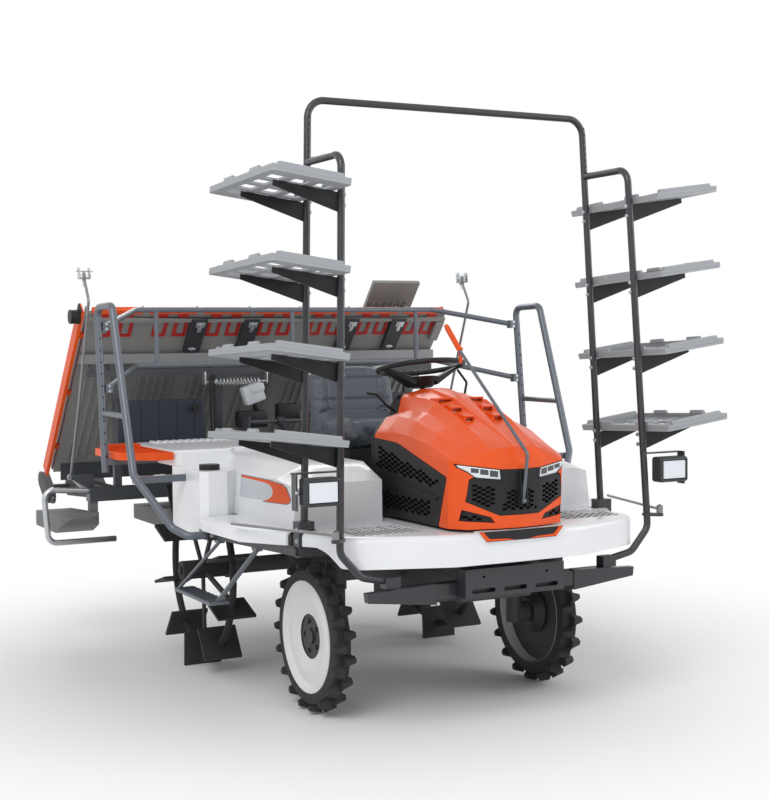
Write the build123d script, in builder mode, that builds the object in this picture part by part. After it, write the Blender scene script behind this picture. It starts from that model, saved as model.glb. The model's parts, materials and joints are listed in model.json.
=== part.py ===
from build123d import *
import os
from math import atan2, cos, degrees, radians, sin

os.makedirs("parts", exist_ok=True)

# Eight-row riding rice transplanter, in millimetres.
# X points to the machine's left, Y to its rear, Z up, and the ground is at Z = 0.
# Left-hand pieces are drawn and the right-hand ones are their mirror images.

# Axles and wheels
FRONT_AXLE_Y = -933.1
WHEELBASE = 1082.0
REAR_AXLE_Y = FRONT_AXLE_Y + WHEELBASE
F = FRONT_AXLE_Y
FRONT_WHEEL_R = 325.0
FRONT_TRACK = 1132.0
FRONT_TREAD_R = 290.0
FRONT_TYRE_WIDTH = 84.0
FRONT_RIM_R = 240.0
FRONT_LUGS = 18
LUG_DRAFT = 14.0
RIM_WALL = 9.0
HUB_R = 96.0
KINGPIN_INSET = 111.0
SPINDLE_R = 15.0
KINGPIN_R = 16.0
RUNNING_FIT = 0.06
REAR_WHEEL_R = 475.0
REAR_TRACK = 1320.0
REAR_RING_R = 398.0
REAR_RING_TUBE_R = 17.0
REAR_PADDLES = 10
PADDLE_WIDTH = 190.0
PADDLE_HEIGHT = 165.0
PADDLE_THICK = 14.0
PADDLE_CORNER = 28.0
REAR_SPOKES = 5
REAR_HUB_R = 46.0
REAR_HUB_LENGTH = 224.0

# Chassis
RAIL_X = 215.0
RAIL_WIDTH = 45.0
RAIL_HEIGHT = 60.0
RAIL_Z = 668.0
RAIL_TOP = RAIL_Z + RAIL_HEIGHT / 2
AXLE_TUBE_R = 40.0
FRONT_AXLE_Z = 590.0
KINGPIN_X = FRONT_TRACK / 2 - KINGPIN_INSET
FRONT_BEAM_Y = FRONT_AXLE_Y - 620.0
FRONT_BEAM_Z = 590.0
FRONT_BEAM_HALF = 520.0
FRONT_BOLT_Z = 645.0
FRONT_BOLT_R = 6.0
OUTRIGGER_HEIGHT = 45.0
OUTRIGGER_DEPTH = 50.0
OUTRIGGER_Z = 740.0
REAR_OUTRIGGER_Y = FRONT_AXLE_Y + 385.0
REAR_OUTRIGGER_HALF = 905.0

# Deck
DECK_TOP = 825.0
DECK_LIP = 125.0
DECK_SIDE_LIP = 60.0
NOSE_PLATE_HALF = 201.0
NOSE_PLATE_TOP = 831.0
NOSE_PLATE_BOTTOM = 790.0
DECK_WALL = 8.0
DECK_NOSE_Y = FRONT_AXLE_Y - 755.0
DECK_SIDE = 935.0
DECK_BACK_Y = FRONT_AXLE_Y + 355.0
DECK_EDGE_R = 26.0
REAR_DECK_TOP = 1090.0
REAR_DECK_WALL = 16.0
REAR_DECK_SIDE = 920.0
REAR_DECK_BACK_Y = REAR_AXLE_Y + 300.0
REAR_DECK_SKIRT = 70.0
DECK_RIB_PITCH = 38.0

# Rack for spare seedling mats
RACK_TUBE = 30.0
RACK_TOP = 2564.0
RACK_HALF_TOP = 672.5
RACK_SPLAY = 0.0361
RACK_LEAN = 0.027
RACK_REAR_Y = FRONT_AXLE_Y - 241.0
RACK_DEPTH = 313.0
RACK_SHOULDER = RACK_TOP - 254.0
TRAY_TIERS = 4
TRAY_TOP_Z = RACK_TOP - 394.0
TRAY_LOW_Z = 1189.0
TRAY_PITCH = (TRAY_TOP_Z - TRAY_LOW_Z) / (TRAY_TIERS - 1)
TRAY_LENGTH = 638.0
TRAY_WIDTH = 330.0
TRAY_INNER_X = 718.0
TRAY_FRONT_Y = FRONT_AXLE_Y - 726.0
TRAY_TILT = 7.7
TRAY_SAG = -2.4
TRAY_FLOOR = 9.0
TRAY_LIP = 26.0
SIDE_MARKER_X = 775.0
SIDE_MARKER_REACH = -660.0

# Hood, seat and steering
HINGE_Y = FRONT_AXLE_Y - 30.0
HINGE_Z = 1335.0
HINGE_PIN_R = 6.0
MARKER_REACH = -776.0
MARKER_Z = 945.0
MARKER_PIN_R = 5.0
HOOD_BASE_Z = DECK_TOP + 12.0
HOOD_WALL = 8.0
HOOD_HALF = 268.0
STEER_WHEEL_R = 190.0
STEER_RIM_R = 12.0
STEER_Y = FRONT_AXLE_Y + 50.0
STEER_Z = 1467.0
STEER_TILT = 10.0
COLUMN_R = 11.0
DASH_FRONT = 18.0
SEAT_WIDTH = 460.0
SEAT_Y = FRONT_AXLE_Y + 390.0
SEAT_Z = 1085.0

# Rails beside and behind the rear deck
HOOP_TUBE = 35.0
HOOP_X = 1170.0
HANDRAIL_TUBE = 28.0
STEP_TREAD_Z = 433.0

# Lift linkage and planting section, drawn raised
LINK_Y = REAR_AXLE_Y - 102.0
LINK_LOW_Z = 602.0
LINK_SPACING = 262.0
LINK_LENGTH = 700.0
LINK_ANGLE = 24.5
LINK_PIN_R = 12.0
LINK_CLEAR = 0.06
GUIDE_RAIL_Z = 1430.0
MARKER_FOOT_X = 1100.0
MARKER_FOOT_Z = 890.0
MARKER_FOOT_PIN_R = 8.0
ROW_PITCH = 300.0
ROWS = 8
BEAM_SIDE = 70.0
BEAM_Y = REAR_AXLE_Y + 690.0
BEAM_Z = 800.0
BEAM_HALF = 1030.0
PLATFORM_TILT = 49.0
PLATFORM_SHIFT = 150.0
PLATFORM_LENGTH = 1195.0
PLATFORM_THICK = 22.0
TOP_RAIL_LOW = 45.0
ROTOR_Y = REAR_AXLE_Y + 1440.0
PLATFORM_LOW_Y = ROTOR_Y - 146.0
PLATFORM_LOW_Z = 873.1
PLATFORM_TOP_Y = PLATFORM_LOW_Y - PLATFORM_LENGTH * cos(radians(PLATFORM_TILT))
PLATFORM_TOP_Z = PLATFORM_LOW_Z + PLATFORM_LENGTH * sin(radians(PLATFORM_TILT))
ROTOR_Z = 775.0
ROTOR_R = 165.0
FLOAT_BOTTOM_Z = 602.0

LINK_RUN = LINK_LENGTH * cos(radians(LINK_ANGLE))
LINK_RISE = LINK_LENGTH * sin(radians(LINK_ANGLE))
HITCH_Y = LINK_Y + LINK_RUN
HITCH_LOW_Z = LINK_LOW_Z + LINK_RISE
HITCH_HIGH_Z = HITCH_LOW_Z + LINK_SPACING


def rack_x(z):
    return RACK_HALF_TOP + RACK_SPLAY * (2600.0 - z)


def rack_y(z):
    return RACK_REAR_Y + RACK_LEAN * (z - 2600.0)

# Chassis frame: two rails, front beam with its box and wings, outriggers, side sills and the link mast
with BuildPart() as chassis_frame:
    rail_front = FRONT_BEAM_Y - 30.0
    rail_length = LINK_Y + 40.0 - rail_front
    for side in (-1, 1):
        with Locations((side * RAIL_X, rail_front + rail_length / 2, RAIL_Z)):
            Box(RAIL_WIDTH, rail_length, RAIL_HEIGHT)
    with Locations((0, FRONT_BEAM_Y, FRONT_BEAM_Z)):
        Box(2 * FRONT_BEAM_HALF, 60, 60)
    with Locations((0, FRONT_BEAM_Y - 62, 620)):
        Box(470, 68, 116)
    with BuildSketch(Plane.XZ.offset(-FRONT_BEAM_Y)):
        Polygon((330, 540), (635, 574), (640, 612), (330, 624))
        Polygon((-330, 540), (-635, 574), (-640, 612), (-330, 624))
    extrude(amount=34)
    # outriggers on pads over the rails: (Y, inner end, outer end)
    pad_height = OUTRIGGER_Z - OUTRIGGER_HEIGHT / 2 - RAIL_TOP
    for y, start, end in (
        (rack_y(DECK_TOP), RAIL_X - RAIL_WIDTH / 2, 772.0), (REAR_OUTRIGGER_Y, 0.0, REAR_OUTRIGGER_HALF)
    ):
        with Locations((-(start + end) / 2, y, OUTRIGGER_Z), ((start + end) / 2, y, OUTRIGGER_Z)):
            Box(end - start, OUTRIGGER_DEPTH, OUTRIGGER_HEIGHT)
        with Locations((-RAIL_X, y, RAIL_TOP + pad_height / 2), (RAIL_X, y, RAIL_TOP + pad_height / 2)):
            Box(RAIL_WIDTH, OUTRIGGER_DEPTH, pad_height)
    # side sills from the front outriggers to the rear one
    for side in (-1, 1):
        with BuildSketch(Plane.XY.offset(OUTRIGGER_Z - 16)):
            Polygon(
                (side * 752, FRONT_AXLE_Y - 300), (side * 782, FRONT_AXLE_Y - 300),
                (side * 885, REAR_OUTRIGGER_Y + 10), (side * 855, REAR_OUTRIGGER_Y + 10),
            )
        extrude(amount=32)
    # cross members between the rails
    for y in (FRONT_AXLE_Y + 300.0, LINK_Y - 20.0):
        with Locations((0, y, RAIL_Z)):
            Box(2 * RAIL_X, 60, RAIL_HEIGHT - 10)
    # saddles on the front axle tube
    for side in (-1, 1):
        with Locations((side * RAIL_X, FRONT_AXLE_Y, (FRONT_AXLE_Z + AXLE_TUBE_R + RAIL_Z) / 2)):
            Box(RAIL_WIDTH, 70, RAIL_Z - FRONT_AXLE_Z - AXLE_TUBE_R)
    # mast plates that carry the lift links, with their pins
    for x in (-195.0, 180.0):
        with BuildSketch(Plane.YZ.offset(x)):
            Polygon(
                (LINK_Y - 70, 560), (LINK_Y + 40, 560), (LINK_Y + 40, 900), (LINK_Y - 30, 930),
                (LINK_Y - 160, 660)
            )
        extrude(amount=15)
    for z in (LINK_LOW_Z, LINK_LOW_Z + LINK_SPACING):
        with BuildSketch(Plane.YZ.offset(-190)):
            with Locations((LINK_Y, z)):
                Circle(LINK_PIN_R)
        extrude(amount=380)
    # cooling slots and two bolt holes in the front box
    with BuildSketch(Plane.XZ.offset(-(FRONT_BEAM_Y - 96))):
        with Locations((-150, 590), (0, 590), (150, 590)):
            SlotOverall(110, 18)
    extrude(amount=-30, mode=Mode.SUBTRACT)
    with BuildSketch(Plane.XZ.offset(-(FRONT_BEAM_Y - 96))):
        with Locations((-150, FRONT_BOLT_Z), (150, FRONT_BOLT_Z)):
            Circle(FRONT_BOLT_R)
    extrude(amount=-40, mode=Mode.SUBTRACT)
chassis_frame.part.label = "chassis_frame"
export_step(chassis_frame.part, "parts/chassis_frame.step")

# Engine, one plain block on four feet between the rails under the hood
with BuildPart() as engine_block:
    with Locations((0, FRONT_AXLE_Y - 345, 770)):
        Box(340, 450, 500)
    for side in (-1, 1):
        for reach in (-120, 120):
            with Locations((side * (RAIL_X - 12), FRONT_AXLE_Y - 345 + reach, RAIL_TOP + 7)):
                Box(72, 60, 14)
engine_block.part.label = "engine_block"
export_step(engine_block.part, "parts/engine_block.step")

# Front axle: gearbox, cross tube and the two kingpin housings
with BuildPart() as front_axle:
    with Locations((0, FRONT_AXLE_Y + 75, 545)):
        Box(300, 330, 230)
    with BuildSketch(Plane.YZ.offset(-KINGPIN_X)):
        with Locations((FRONT_AXLE_Y, FRONT_AXLE_Z)):
            Circle(AXLE_TUBE_R)
    extrude(amount=2 * KINGPIN_X)
    with BuildSketch(Plane.XY.offset(520)):
        with Locations((-KINGPIN_X, FRONT_AXLE_Y), (KINGPIN_X, FRONT_AXLE_Y)):
            Circle(44)
    extrude(amount=118)
    with BuildSketch(Plane.XY.offset(520)):
        with Locations((-KINGPIN_X, FRONT_AXLE_Y), (KINGPIN_X, FRONT_AXLE_Y)):
            Circle(KINGPIN_R + RUNNING_FIT)
    extrude(amount=60, mode=Mode.SUBTRACT)
front_axle.part.label = "front_axle"
export_step(front_axle.part, "parts/front_axle.step")

# Rear axle: driveshaft, differential case, cross tube and end bosses with spindles
REAR_BOSS_X = REAR_TRACK / 2 - REAR_HUB_LENGTH / 2 - 8.0
with BuildPart() as rear_axle:
    with BuildSketch(Plane.XZ.offset(-(FRONT_AXLE_Y + 240))):
        with Locations((0, 500)):
            Circle(22)
    extrude(amount=-(WHEELBASE - 240 - 110))
    with Locations((0, REAR_AXLE_Y - 10, REAR_WHEEL_R)):
        Box(210, 210, 170)
    with BuildSketch(Plane.YZ.offset(-REAR_BOSS_X)):
        with Locations((REAR_AXLE_Y, REAR_WHEEL_R)):
            Circle(AXLE_TUBE_R)
    extrude(amount=2 * REAR_BOSS_X)
    for x in (-REAR_BOSS_X, REAR_BOSS_X - 70):
        with BuildSketch(Plane.YZ.offset(x)):
            with Locations((REAR_AXLE_Y, REAR_WHEEL_R)):
                Circle(54)
        extrude(amount=70)
    with BuildSketch(Plane.YZ.offset(-REAR_BOSS_X - 90)):
        with Locations((REAR_AXLE_Y, REAR_WHEEL_R)):
            Circle(SPINDLE_R)
    extrude(amount=2 * (REAR_BOSS_X + 90))
    for side in (-1, 1):
        with Locations((side * RAIL_X, REAR_AXLE_Y - 60, (REAR_WHEEL_R + RAIL_Z - RAIL_HEIGHT / 2) / 2)):
            Box(30, 90, RAIL_Z - RAIL_HEIGHT / 2 - REAR_WHEEL_R)
rear_axle.part.label = "rear_axle"
export_step(rear_axle.part, "parts/rear_axle.step")

# Front knuckles: kingpin, drop leg and wheel spindle
KNUCKLE_TOP = 514.0
HUB_BACK = 40.0
for name, side in (("right", -1), ("left", 1)):
    kingpin = (side * KINGPIN_X, FRONT_AXLE_Y)
    with BuildPart() as knuckle:
        with BuildSketch(Plane.XY.offset(FRONT_WHEEL_R - 40)):
            with Locations(kingpin):
                Circle(38)
        extrude(amount=KNUCKLE_TOP - FRONT_WHEEL_R + 40)
        with BuildSketch(Plane.XY.offset(KNUCKLE_TOP)):
            with Locations(kingpin):
                Circle(KINGPIN_R)
        extrude(amount=64)
        face_x = FRONT_TRACK / 2 - HUB_BACK - 8.0
        wheel_side = Plane(
            origin=(side * face_x, FRONT_AXLE_Y, FRONT_WHEEL_R), x_dir=(0, 1, 0), z_dir=(side, 0, 0)
        )
        with BuildSketch(wheel_side):
            Circle(48)
        extrude(amount=-(face_x - KINGPIN_X))
        with BuildSketch(wheel_side):
            Circle(SPINDLE_R)
        extrude(amount=44)
        # steering arm, pointing back
        with Locations((side * KINGPIN_X, FRONT_AXLE_Y + 75, KNUCKLE_TOP - 18)):
            Box(34, 130, 22)
    knuckle.part.label = f"knuckle_{name}"
    export_step(knuckle.part, f"parts/knuckle_{name}.step")

    # Front rim: barrel, dished disc and bolted hub
    hub_plane = Plane(
        origin=(side * FRONT_TRACK / 2, FRONT_AXLE_Y, FRONT_WHEEL_R), x_dir=(0, 1, 0), z_dir=(side, 0, 0)
    )
    profile_plane = Plane(
        origin=(side * FRONT_TRACK / 2, FRONT_AXLE_Y, FRONT_WHEEL_R), x_dir=(side, 0, 0),
        z_dir=(0, -side, 0)
    )
    wheel_axis = Axis((side * FRONT_TRACK / 2, FRONT_AXLE_Y, FRONT_WHEEL_R), (1, 0, 0))
    half = FRONT_TYRE_WIDTH / 2 - 2.0
    with BuildPart() as rim:
        with BuildSketch(profile_plane):
            Polygon(
                (-half, FRONT_RIM_R), (-half, FRONT_RIM_R - RIM_WALL), (14, FRONT_RIM_R - RIM_WALL),
                (8, HUB_R), (8 + RIM_WALL, HUB_R), (26, 160), (24, 205), (half, FRONT_RIM_R - RIM_WALL),
                (half, FRONT_RIM_R),
            )
            Polygon((-HUB_BACK, 0), (-HUB_BACK, 60), (-8, HUB_R + 4), (12, HUB_R + 4), (12, 0))
        revolve(axis=wheel_axis)
        with BuildSketch(hub_plane.offset(12)):
            with PolarLocations(66, 5):
                RegularPolygon(11, 6)
            Circle(34)
        extrude(amount=10)
        with BuildSketch(hub_plane.offset(-HUB_BACK)):
            Circle(SPINDLE_R + RUNNING_FIT)
        extrude(amount=42, mode=Mode.SUBTRACT)
    rim.part.label = f"front_rim_{name}"
    export_step(rim.part, f"parts/front_rim_{name}.step")

    # Front tyre: solid rubber ring with two staggered rows of wedge lugs
    with BuildPart() as tyre:
        half = FRONT_TYRE_WIDTH / 2
        with BuildSketch(profile_plane):
            Polygon(
                (-half + 4, FRONT_RIM_R), (half - 4, FRONT_RIM_R), (half, FRONT_RIM_R + 14),
                (half - 5, FRONT_TREAD_R - 6), (half - 14, FRONT_TREAD_R), (-half + 14, FRONT_TREAD_R),
                (-half + 5, FRONT_TREAD_R - 6), (-half, FRONT_RIM_R + 14),
            )
        revolve(axis=wheel_axis)
        depth = FRONT_WHEEL_R - FRONT_TREAD_R + 8.0
        for start, reach in ((0.0, 1), (180.0 / FRONT_LUGS, -1)):
            with BuildSketch(hub_plane):
                with PolarLocations(FRONT_WHEEL_R, FRONT_LUGS, start_angle=start):
                    Polygon((-depth, -33), (0, -17), (0, 17), (-depth, 33))
            extrude(amount=reach * (half + 8), taper=LUG_DRAFT)
    tyre.part.label = f"front_tyre_{name}"
    export_step(tyre.part, f"parts/front_tyre_{name}.step")

    # Rear wheel: long hub, round spokes, rubber-covered ring and big paddles
    rear_plane = Plane(
        origin=(side * REAR_TRACK / 2, REAR_AXLE_Y, REAR_WHEEL_R), x_dir=(0, 1, 0), z_dir=(side, 0, 0)
    )
    with BuildPart(rear_plane) as rear_wheel:
        Torus(REAR_RING_R, REAR_RING_TUBE_R)
        Cylinder(REAR_HUB_R, REAR_HUB_LENGTH)
        with Locations((0, 0, REAR_HUB_LENGTH / 2 + 6)):
            Cylinder(20, 12)
        with PolarLocations((REAR_RING_R + REAR_HUB_R) / 2 - 10, REAR_SPOKES, start_angle=20):
            Box(REAR_RING_R - REAR_HUB_R + 20, 26, 12)
        with PolarLocations(REAR_WHEEL_R - PADDLE_HEIGHT / 2, REAR_PADDLES, start_angle=-93):
            Box(PADDLE_HEIGHT, PADDLE_THICK, PADDLE_WIDTH)
        with BuildSketch(rear_plane.offset(-REAR_HUB_LENGTH / 2)):
            Circle(SPINDLE_R + RUNNING_FIT)
        extrude(amount=90, mode=Mode.SUBTRACT)
    rear_wheel.part.label = f"rear_wheel_{name}"
    export_step(rear_wheel.part, f"parts/rear_wheel_{name}.step")

# Front and side deck: a moulded shell with a deep rounded lip at the nose and a low one at the sides
DECK_OUTLINE = (
    (0.0, DECK_NOSE_Y), (300.0, DECK_NOSE_Y + 6), (690.0, FRONT_AXLE_Y - 600), (700.0, FRONT_AXLE_Y - 420),
    (DECK_SIDE - 10, FRONT_AXLE_Y - 60), (DECK_SIDE, DECK_BACK_Y), (0.0, DECK_BACK_Y),
)
DECK_LAYERS = []
# outer body, then the hollow under it: (inset, top, edge radius)
for inset, top, edge_r in (
    (0.0, DECK_TOP, DECK_EDGE_R), (DECK_WALL, DECK_TOP - DECK_WALL, DECK_EDGE_R - DECK_WALL)
):
    with BuildPart() as layer:
        with BuildSketch(Plane.XY.offset(DECK_TOP - DECK_LIP)):
            with BuildLine():
                Polyline(*DECK_OUTLINE, close=True)
            make_face()
            mirror(about=Plane.YZ)
            fillet([v for v in vertices() if 600 < abs(v.X) < 695], 110)
            fillet([v for v in vertices() if 695 < abs(v.X) < 705], 120)
            fillet([v for v in vertices() if 290 < abs(v.X) < 310], 240)
            if inset:
                offset(amount=-inset)
        extrude(amount=top - DECK_TOP + DECK_LIP)
        fillet(
            layer.faces().sort_by(Axis.Z)[-1].edges().filter_by(lambda e: e.center().Y < DECK_BACK_Y - 40),
            edge_r
        )
    DECK_LAYERS.append(layer.part)
with BuildPart() as floor_deck:
    add(DECK_LAYERS[0])
    add(DECK_LAYERS[1], mode=Mode.SUBTRACT)
    # the lip is low along both sides and rises behind the nose
    lip_z = DECK_TOP - DECK_SIDE_LIP
    with BuildSketch(Plane.YZ.offset(-1000)):
        Polygon(
            (FRONT_AXLE_Y - 540, DECK_TOP - DECK_LIP - 1), (FRONT_AXLE_Y - 380, lip_z),
            (DECK_BACK_Y + 10, lip_z),
            (DECK_BACK_Y + 10, DECK_TOP - DECK_LIP - 1),
        )
    extrude(amount=2000, mode=Mode.SUBTRACT)
    # the lip is cut up in the middle of the nose
    with BuildSketch(Plane.XZ.offset(-DECK_NOSE_Y - 10)):
        Polygon((-300, 690), (-215, 745), (215, 745), (300, 690))
    extrude(amount=-130, mode=Mode.SUBTRACT)
    # blank plate on the nose, just under the hood
    with BuildSketch(Plane.XY.offset(NOSE_PLATE_BOTTOM)):
        with BuildLine():
            Polyline(
                (0, DECK_NOSE_Y - 12), (NOSE_PLATE_HALF, DECK_NOSE_Y - 8),
                (NOSE_PLATE_HALF, DECK_NOSE_Y + 34),
                (-NOSE_PLATE_HALF, DECK_NOSE_Y + 34), (-NOSE_PLATE_HALF, DECK_NOSE_Y - 8), close=True,
            )
        make_face()
    plate = extrude(amount=NOSE_PLATE_TOP - NOSE_PLATE_BOTTOM, mode=Mode.PRIVATE)
    with BuildSketch(Plane.XZ.offset(-DECK_NOSE_Y - 40), mode=Mode.PRIVATE) as plate_face:
        Polygon(
            (-NOSE_PLATE_HALF, NOSE_PLATE_TOP), (NOSE_PLATE_HALF, NOSE_PLATE_TOP),
            (NOSE_PLATE_HALF - 36, NOSE_PLATE_BOTTOM), (-NOSE_PLATE_HALF + 36, NOSE_PLATE_BOTTOM),
        )
    add(plate & extrude(plate_face.sketch, amount=100, both=True, mode=Mode.PRIVATE))
    # openings for the engine and for the rear rack posts
    with Locations((0, FRONT_AXLE_Y - 345, DECK_TOP)):
        Box(380, 490, 60, mode=Mode.SUBTRACT)
    post_x = rack_x(DECK_TOP)
    for side in (-1, 1):
        with Locations((side * (post_x + 60), rack_y(DECK_TOP), DECK_TOP - DECK_LIP / 2)):
            Box(120 + 110, 66, DECK_LIP + 60, mode=Mode.SUBTRACT)
    # tread ribs on the footboards
    with Locations((-480, FRONT_AXLE_Y - 350, DECK_TOP + 2), (480, FRONT_AXLE_Y - 350, DECK_TOP + 2)):
        with GridLocations(60, 34, 5, 7):
            Box(44, 10, 4)
floor_deck.part.label = "floor_deck"
export_step(floor_deck.part, "parts/floor_deck.step")

# Rear deck: raised floor over the rear wheels, side covers and the two corner towers
TOWER_TOP = REAR_DECK_TOP - REAR_DECK_SKIRT
TOWER_SIDE = 925.0
with BuildPart() as rear_deck:
    with BuildSketch(Plane.XY.offset(REAR_DECK_TOP - REAR_DECK_SKIRT)):
        with BuildLine():
            Polyline(
                (0, REAR_DECK_BACK_Y), (REAR_DECK_SIDE, REAR_DECK_BACK_Y),
                (REAR_DECK_SIDE, FRONT_AXLE_Y + 775),
                (880, FRONT_AXLE_Y + 735), (640, FRONT_AXLE_Y + 735), (600, FRONT_AXLE_Y + 792),
                (0, FRONT_AXLE_Y + 792), close=True,
            )
        make_face()
        mirror(about=Plane.YZ)
        fillet([v for v in vertices() if abs(v.X) > 900 and v.Y > REAR_AXLE_Y], 60)
    extrude(amount=REAR_DECK_SKIRT)
    fillet(faces().sort_by(Axis.Z)[-1].edges(), 14)
    offset(amount=-REAR_DECK_WALL, openings=faces().sort_by(Axis.Z)[0])
    # ribs across the rear edge
    with Locations((0, REAR_DECK_BACK_Y - 62, REAR_DECK_TOP + 3)):
        with GridLocations(DECK_RIB_PITCH, 1, 44, 1):
            Box(DECK_RIB_PITCH / 2, 92, 8)
    # side covers next to the seat: (Y, foot X, panel top X, Z, shelf X, Z)
    for side in (-1, 1):
        for y, foot, panel_x, panel_z, shelf_x, shelf_z in (
            (FRONT_AXLE_Y + 790.0, 762.0, 742.0, 1008.0, 620.0, 1074.0),
            (FRONT_AXLE_Y - 20.0, 758.0, 738.0, 1010.0, 620.0, 1066.0),
            (FRONT_AXLE_Y - 195.0, 742.0, 724.0, 985.0, 650.0, 1000.0),
        ):
            with BuildSketch(Plane.XZ.offset(-y)):
                with BuildLine():
                    Polyline(
                        (side * 330, DECK_TOP), (side * foot, DECK_TOP), (side * panel_x, panel_z),
                        (side * shelf_x, shelf_z), (side * 330, shelf_z), close=True,
                    )
                make_face()
        loft(ruled=True)
    # towers that reach below the side deck, with a chamfered inner front corner
    for side in (-1, 1):
        with BuildSketch(Plane.XY.offset(DECK_TOP - 100)):
            with BuildLine():
                Polyline(
                    (side * 740, FRONT_AXLE_Y + 434), (side * 808, FRONT_AXLE_Y + 366),
                    (side * 895, FRONT_AXLE_Y + 366), (side * TOWER_SIDE, FRONT_AXLE_Y + 396),
                    (side * TOWER_SIDE, FRONT_AXLE_Y + 752), (side * 740, FRONT_AXLE_Y + 752), close=True,
                )
            make_face()
        extrude(amount=TOWER_TOP - DECK_TOP + 100)
    # filler cap
    with BuildSketch(Plane.XY.offset(TOWER_TOP)):
        with Locations((-850, FRONT_AXLE_Y + 470)):
            Circle(46)
    extrude(amount=24)
    # wheel arches
    for side in (-1, 1):
        with BuildSketch(Plane.YZ.offset(side * 670 - 140)):
            with Locations((REAR_AXLE_Y, REAR_WHEEL_R)):
                Circle(REAR_WHEEL_R + 40)
        extrude(amount=280, mode=Mode.SUBTRACT)
    # the towers leave the side deck and the rear outrigger their room
    with Locations((0, DECK_BACK_Y - 250, DECK_TOP - DECK_LIP / 2 - 0.25)):
        Box(2200, 501, DECK_LIP + 0.5, mode=Mode.SUBTRACT)
    with Locations((0, REAR_OUTRIGGER_Y, OUTRIGGER_Z)):
        Box(2200, OUTRIGGER_DEPTH + 12, OUTRIGGER_HEIGHT + 8, mode=Mode.SUBTRACT)
    # the skirt is open in the middle, over the lift links
    with Locations((0, REAR_AXLE_Y + 120, REAR_DECK_TOP - REAR_DECK_WALL - 100)):
        Box(500, 440, 200, mode=Mode.SUBTRACT)
    # well for the seat and its base
    with Locations((0, FRONT_AXLE_Y + 380, 1000)):
        Box(560, 900, 400, mode=Mode.SUBTRACT)
rear_deck.part.label = "rear_deck"
export_step(rear_deck.part, "parts/rear_deck.step")

# Seat base and seat
with BuildPart() as seat_base:
    with BuildSketch(Plane.XY.offset(DECK_TOP)):
        with Locations((0, SEAT_Y + 200)):
            RectangleRounded(420, 430, 30)
    extrude(amount=SEAT_Z - DECK_TOP, taper=3)
seat_base.part.label = "seat_base"
export_step(seat_base.part, "parts/seat_base.step")

# Seat: bolstered cushion and back, with a lower middle and a seam across the back
with BuildPart() as seat_cushion:
    with BuildSketch(Plane.YZ.offset(-SEAT_WIDTH / 2)):
        with BuildLine():
            Polyline(
                (SEAT_Y, SEAT_Z), (SEAT_Y + 410, SEAT_Z), (SEAT_Y + 462, 1440), (SEAT_Y + 440, 1480),
                (SEAT_Y + 375, 1482), (SEAT_Y + 348, 1450), (SEAT_Y + 300, SEAT_Z + 160),
                (SEAT_Y + 250, SEAT_Z + 136),
                (SEAT_Y + 20, SEAT_Z + 124), (SEAT_Y - 6, SEAT_Z + 100), close=True,
            )
        make_face()
        fillet(vertices(), 18)
    extrude(amount=SEAT_WIDTH)
    fillet(faces().filter_by(Axis.X).edges(), 17)
    with BuildSketch(Plane.YZ.offset(-SEAT_WIDTH / 2 + 85)):
        Polygon(
            (SEAT_Y + 38, SEAT_Z + 112), (SEAT_Y + 262, SEAT_Z + 120), (SEAT_Y + 318, SEAT_Z + 150),
            (SEAT_Y + 364, 1452), (SEAT_Y + 300, 1452), (SEAT_Y + 200, SEAT_Z + 190),
            (SEAT_Y + 38, SEAT_Z + 150),
        )
    extrude(amount=SEAT_WIDTH - 170, mode=Mode.SUBTRACT)
seat_cushion.part.label = "seat_cushion"
export_step(seat_cushion.part, "parts/seat_cushion.step")

# Hood: sections from rear to front, each (Y from the front axle, half outline from crest to side)
HOOD_SECTIONS = (
    (
        -8.0,
        (
            (0, 1373), (40, 1370), (46, 1366), (118, 1350), (130, 1338), (150, 1268), (206, 1252),
            (256, 1190), (268, 1165)
        )
    ),
    (
        -130.0,
        (
            (0, 1379), (40, 1374), (46, 1364), (117, 1352), (128, 1344), (158, 1285), (212, 1262),
            (258, 1196), (268, 1168)
        )
    ),
    (
        -300.0,
        (
            (0, 1345), (38, 1342), (44, 1328), (117, 1320), (127, 1330), (165, 1282), (222, 1252),
            (262, 1190), (268, 1150)
        )
    ),
    (
        -490.0,
        (
            (0, 1263), (20, 1260), (30, 1253), (95, 1249), (118, 1262), (160, 1232), (225, 1206),
            (262, 1160), (268, 1120)
        )
    ),
    (
        -640.0,
        (
            (0, 1194), (8, 1192), (14, 1190), (80, 1187), (112, 1186), (160, 1170), (225, 1140),
            (262, 1118), (268, 1108)
        )
    ),
    (
        -710.0,
        (
            (0, 1160), (8, 1158), (14, 1157), (80, 1154), (112, 1150), (160, 1128), (225, 1104),
            (262, 1086), (268, 1070)
        )
    ),
    (
        -775.0,
        (
            (0, 1085), (8, 1083), (14, 1082), (80, 1079), (112, 1076), (160, 1070), (225, 1062),
            (262, 1055), (268, 1040)
        )
    ),
)
# plan of the nose at the height NOSE_TOP_Z: (X, Y from the front axle); it leans back lower down
NOSE_PLAN = (
    (0.0, -768.0), (100.0, -756.0), (225.0, -722.0), (268.0, -650.0), (330.0, -546.0), (330.0, 40.0)
)
NOSE_TOP_Z = 1110.0
NOSE_RAKE = 0.05
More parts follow.
